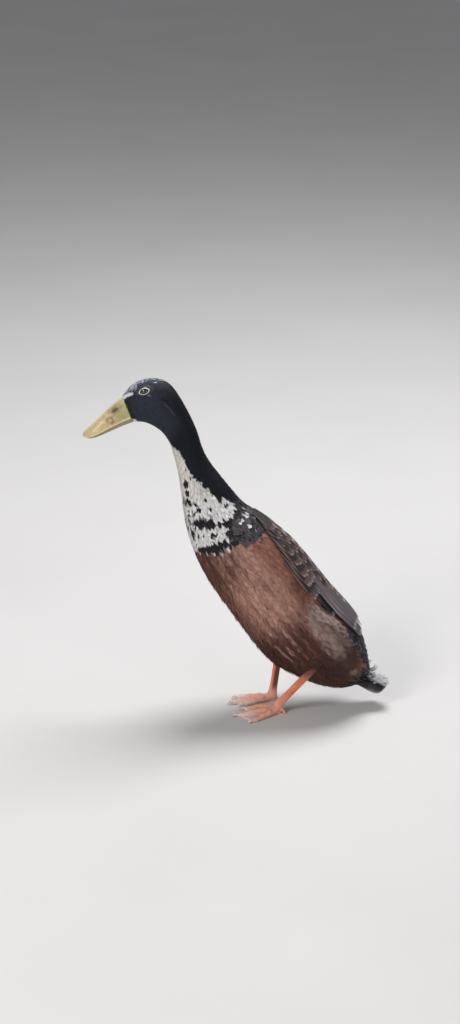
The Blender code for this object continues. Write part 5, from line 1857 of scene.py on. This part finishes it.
def add_tube(bm, line, radii, steps=(16, 50)):
    axes = unit(np.gradient(line, axis=0))
    bent_grid(bm, steps, tube_rings(line, axes, radii, radii, UP))


# %% Webs and claws
def add_web(bm, near_line, far_line):
    """A thin sheet between two toes with a hollowed front edge, given its thickness."""

    def place_on(across, along):
        share = 0.08 + 0.90 * along
        bow = np.sin(math.pi * across)
        read = np.minimum(share * (1.0 - 0.03 * bow * share**3), 1.0) * (len(near_line) - 1)
        a, b = smooth_rows(near_line, read), smooth_rows(far_line, read)
        points = a + (b - a) * across[:, None]
        low = (WEB_THICKNESS - SOLE_SINK) / 2
        fold = 0.7 * np.sin(across * math.pi * 5.0) * bow * along
        sag = 1.0 - 0.5 * bow**2
        points[:, 2] = low + np.maximum(points[:, 2] - low, 0.0) * sag * 0.95 + fold
        return points

    faces = bent_grid(bm, (24, 26), place_on, capped=False)
    face_outwards(bm, faces, UP)
    bmesh.ops.solidify(bm, geom=faces, thickness=WEB_THICKNESS)


def add_claw(bm, tip, ahead):
    line = tip + ahead * (CLAW_LENGTH * CLAW_STATIONS)[:, None]
    rise = 1.2 * np.sin(math.pi * np.clip(CLAW_STATIONS, 0.0, 1.0))
    line[:, 2] = tip[2] + 0.6 + rise - 1.9 * CLAW_STATIONS**2
    add_tube(bm, line, CLAW_RADII, (12, 18))


# %% Feet
for which in LEGS:
    (hip, hock, ankle), heading, side = leg_places(which)
    down = unit(ankle - hock)
    pad = np.array((ankle[0] - 1.5, ankle[1], 0.0))
    bm, claw_bm = bmesh.new(), bmesh.new()
    centres = np.array([ankle - down * 5.2, ankle - down * 1.0, pad + UP * 3.4, pad - UP * SOLE_SINK])
    axes = np.array([down, down, unit(down - UP), -UP])
    bent_grid(bm, (28, 18), tube_rings(centres, axes, (5.8, 6.4, 6.6, 6.0), (4.6, 5.2, 5.2, 4.6)))
    lines = {}
    for toe, (length, spread) in TOES.items():
        turn = math.radians(heading + spread * SPREADS[which]) * side
        lines[toe], radii, ahead = toe_line(ankle, turn, length, TOE_ARCHES[which][toe])
        add_tube(bm, lines[toe], radii)
        add_claw(claw_bm, lines[toe][-1], ahead)
    add_web(bm, lines["inner"], lines["middle"])
    add_web(bm, lines["middle"], lines["outer"])
    back = math.radians(heading + HIND_TURN) * side
    behind, reach = np.array((math.cos(back), math.sin(back), 0.0)), np.linspace(0, 1, 4)
    hind = ankle + behind * (1.0 + HIND_LENGTH * reach)[:, None]
    hind[:, 2] = np.interp(reach, (0, 1), (ankle[2] - 1.0, 1.2 - SOLE_SINK))
    add_tube(bm, hind, HIND_RADII, (14, 20))
    foot = new_piece(f"webbed_foot_{which}", bm, leg_finish)
    fuse = foot.modifiers.new("fuse", "REMESH")
    fuse.mode, fuse.voxel_size = "VOXEL", VOXEL * MM
    soften = foot.modifiers.new("soften", "SMOOTH")
    soften.factor, soften.iterations = 0.5, 3
    fused = bake_modifiers(foot)
    points = mesh_points(fused)
    points[:, 2] = np.maximum(points[:, 2], 0.0)
    fused.vertices.foreach_set("co", points.ravel())
    fused.update()
    write_bird_places(foot)
    claws = new_piece(f"claws_{which}", claw_bm, claw_finish)
    write_bird_places(claws)
    dress(foot, "leg", f"foot_{which}")
    dress(claws, "leg")
    print(f"foot {which}:", len(fused.polygons), "faces")


# %% [markdown]
# ## Sizes
#
# The solid model's box and the dressed bird's are printed side by side.


# %% Sizes
VISUAL_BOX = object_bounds()
for label, (low, high) in (("CAD", CAD_BOX), ("visual", VISUAL_BOX)):
    print(label, [round(1000 * (b - a), 1) for a, b in zip(low, high)], "mm")
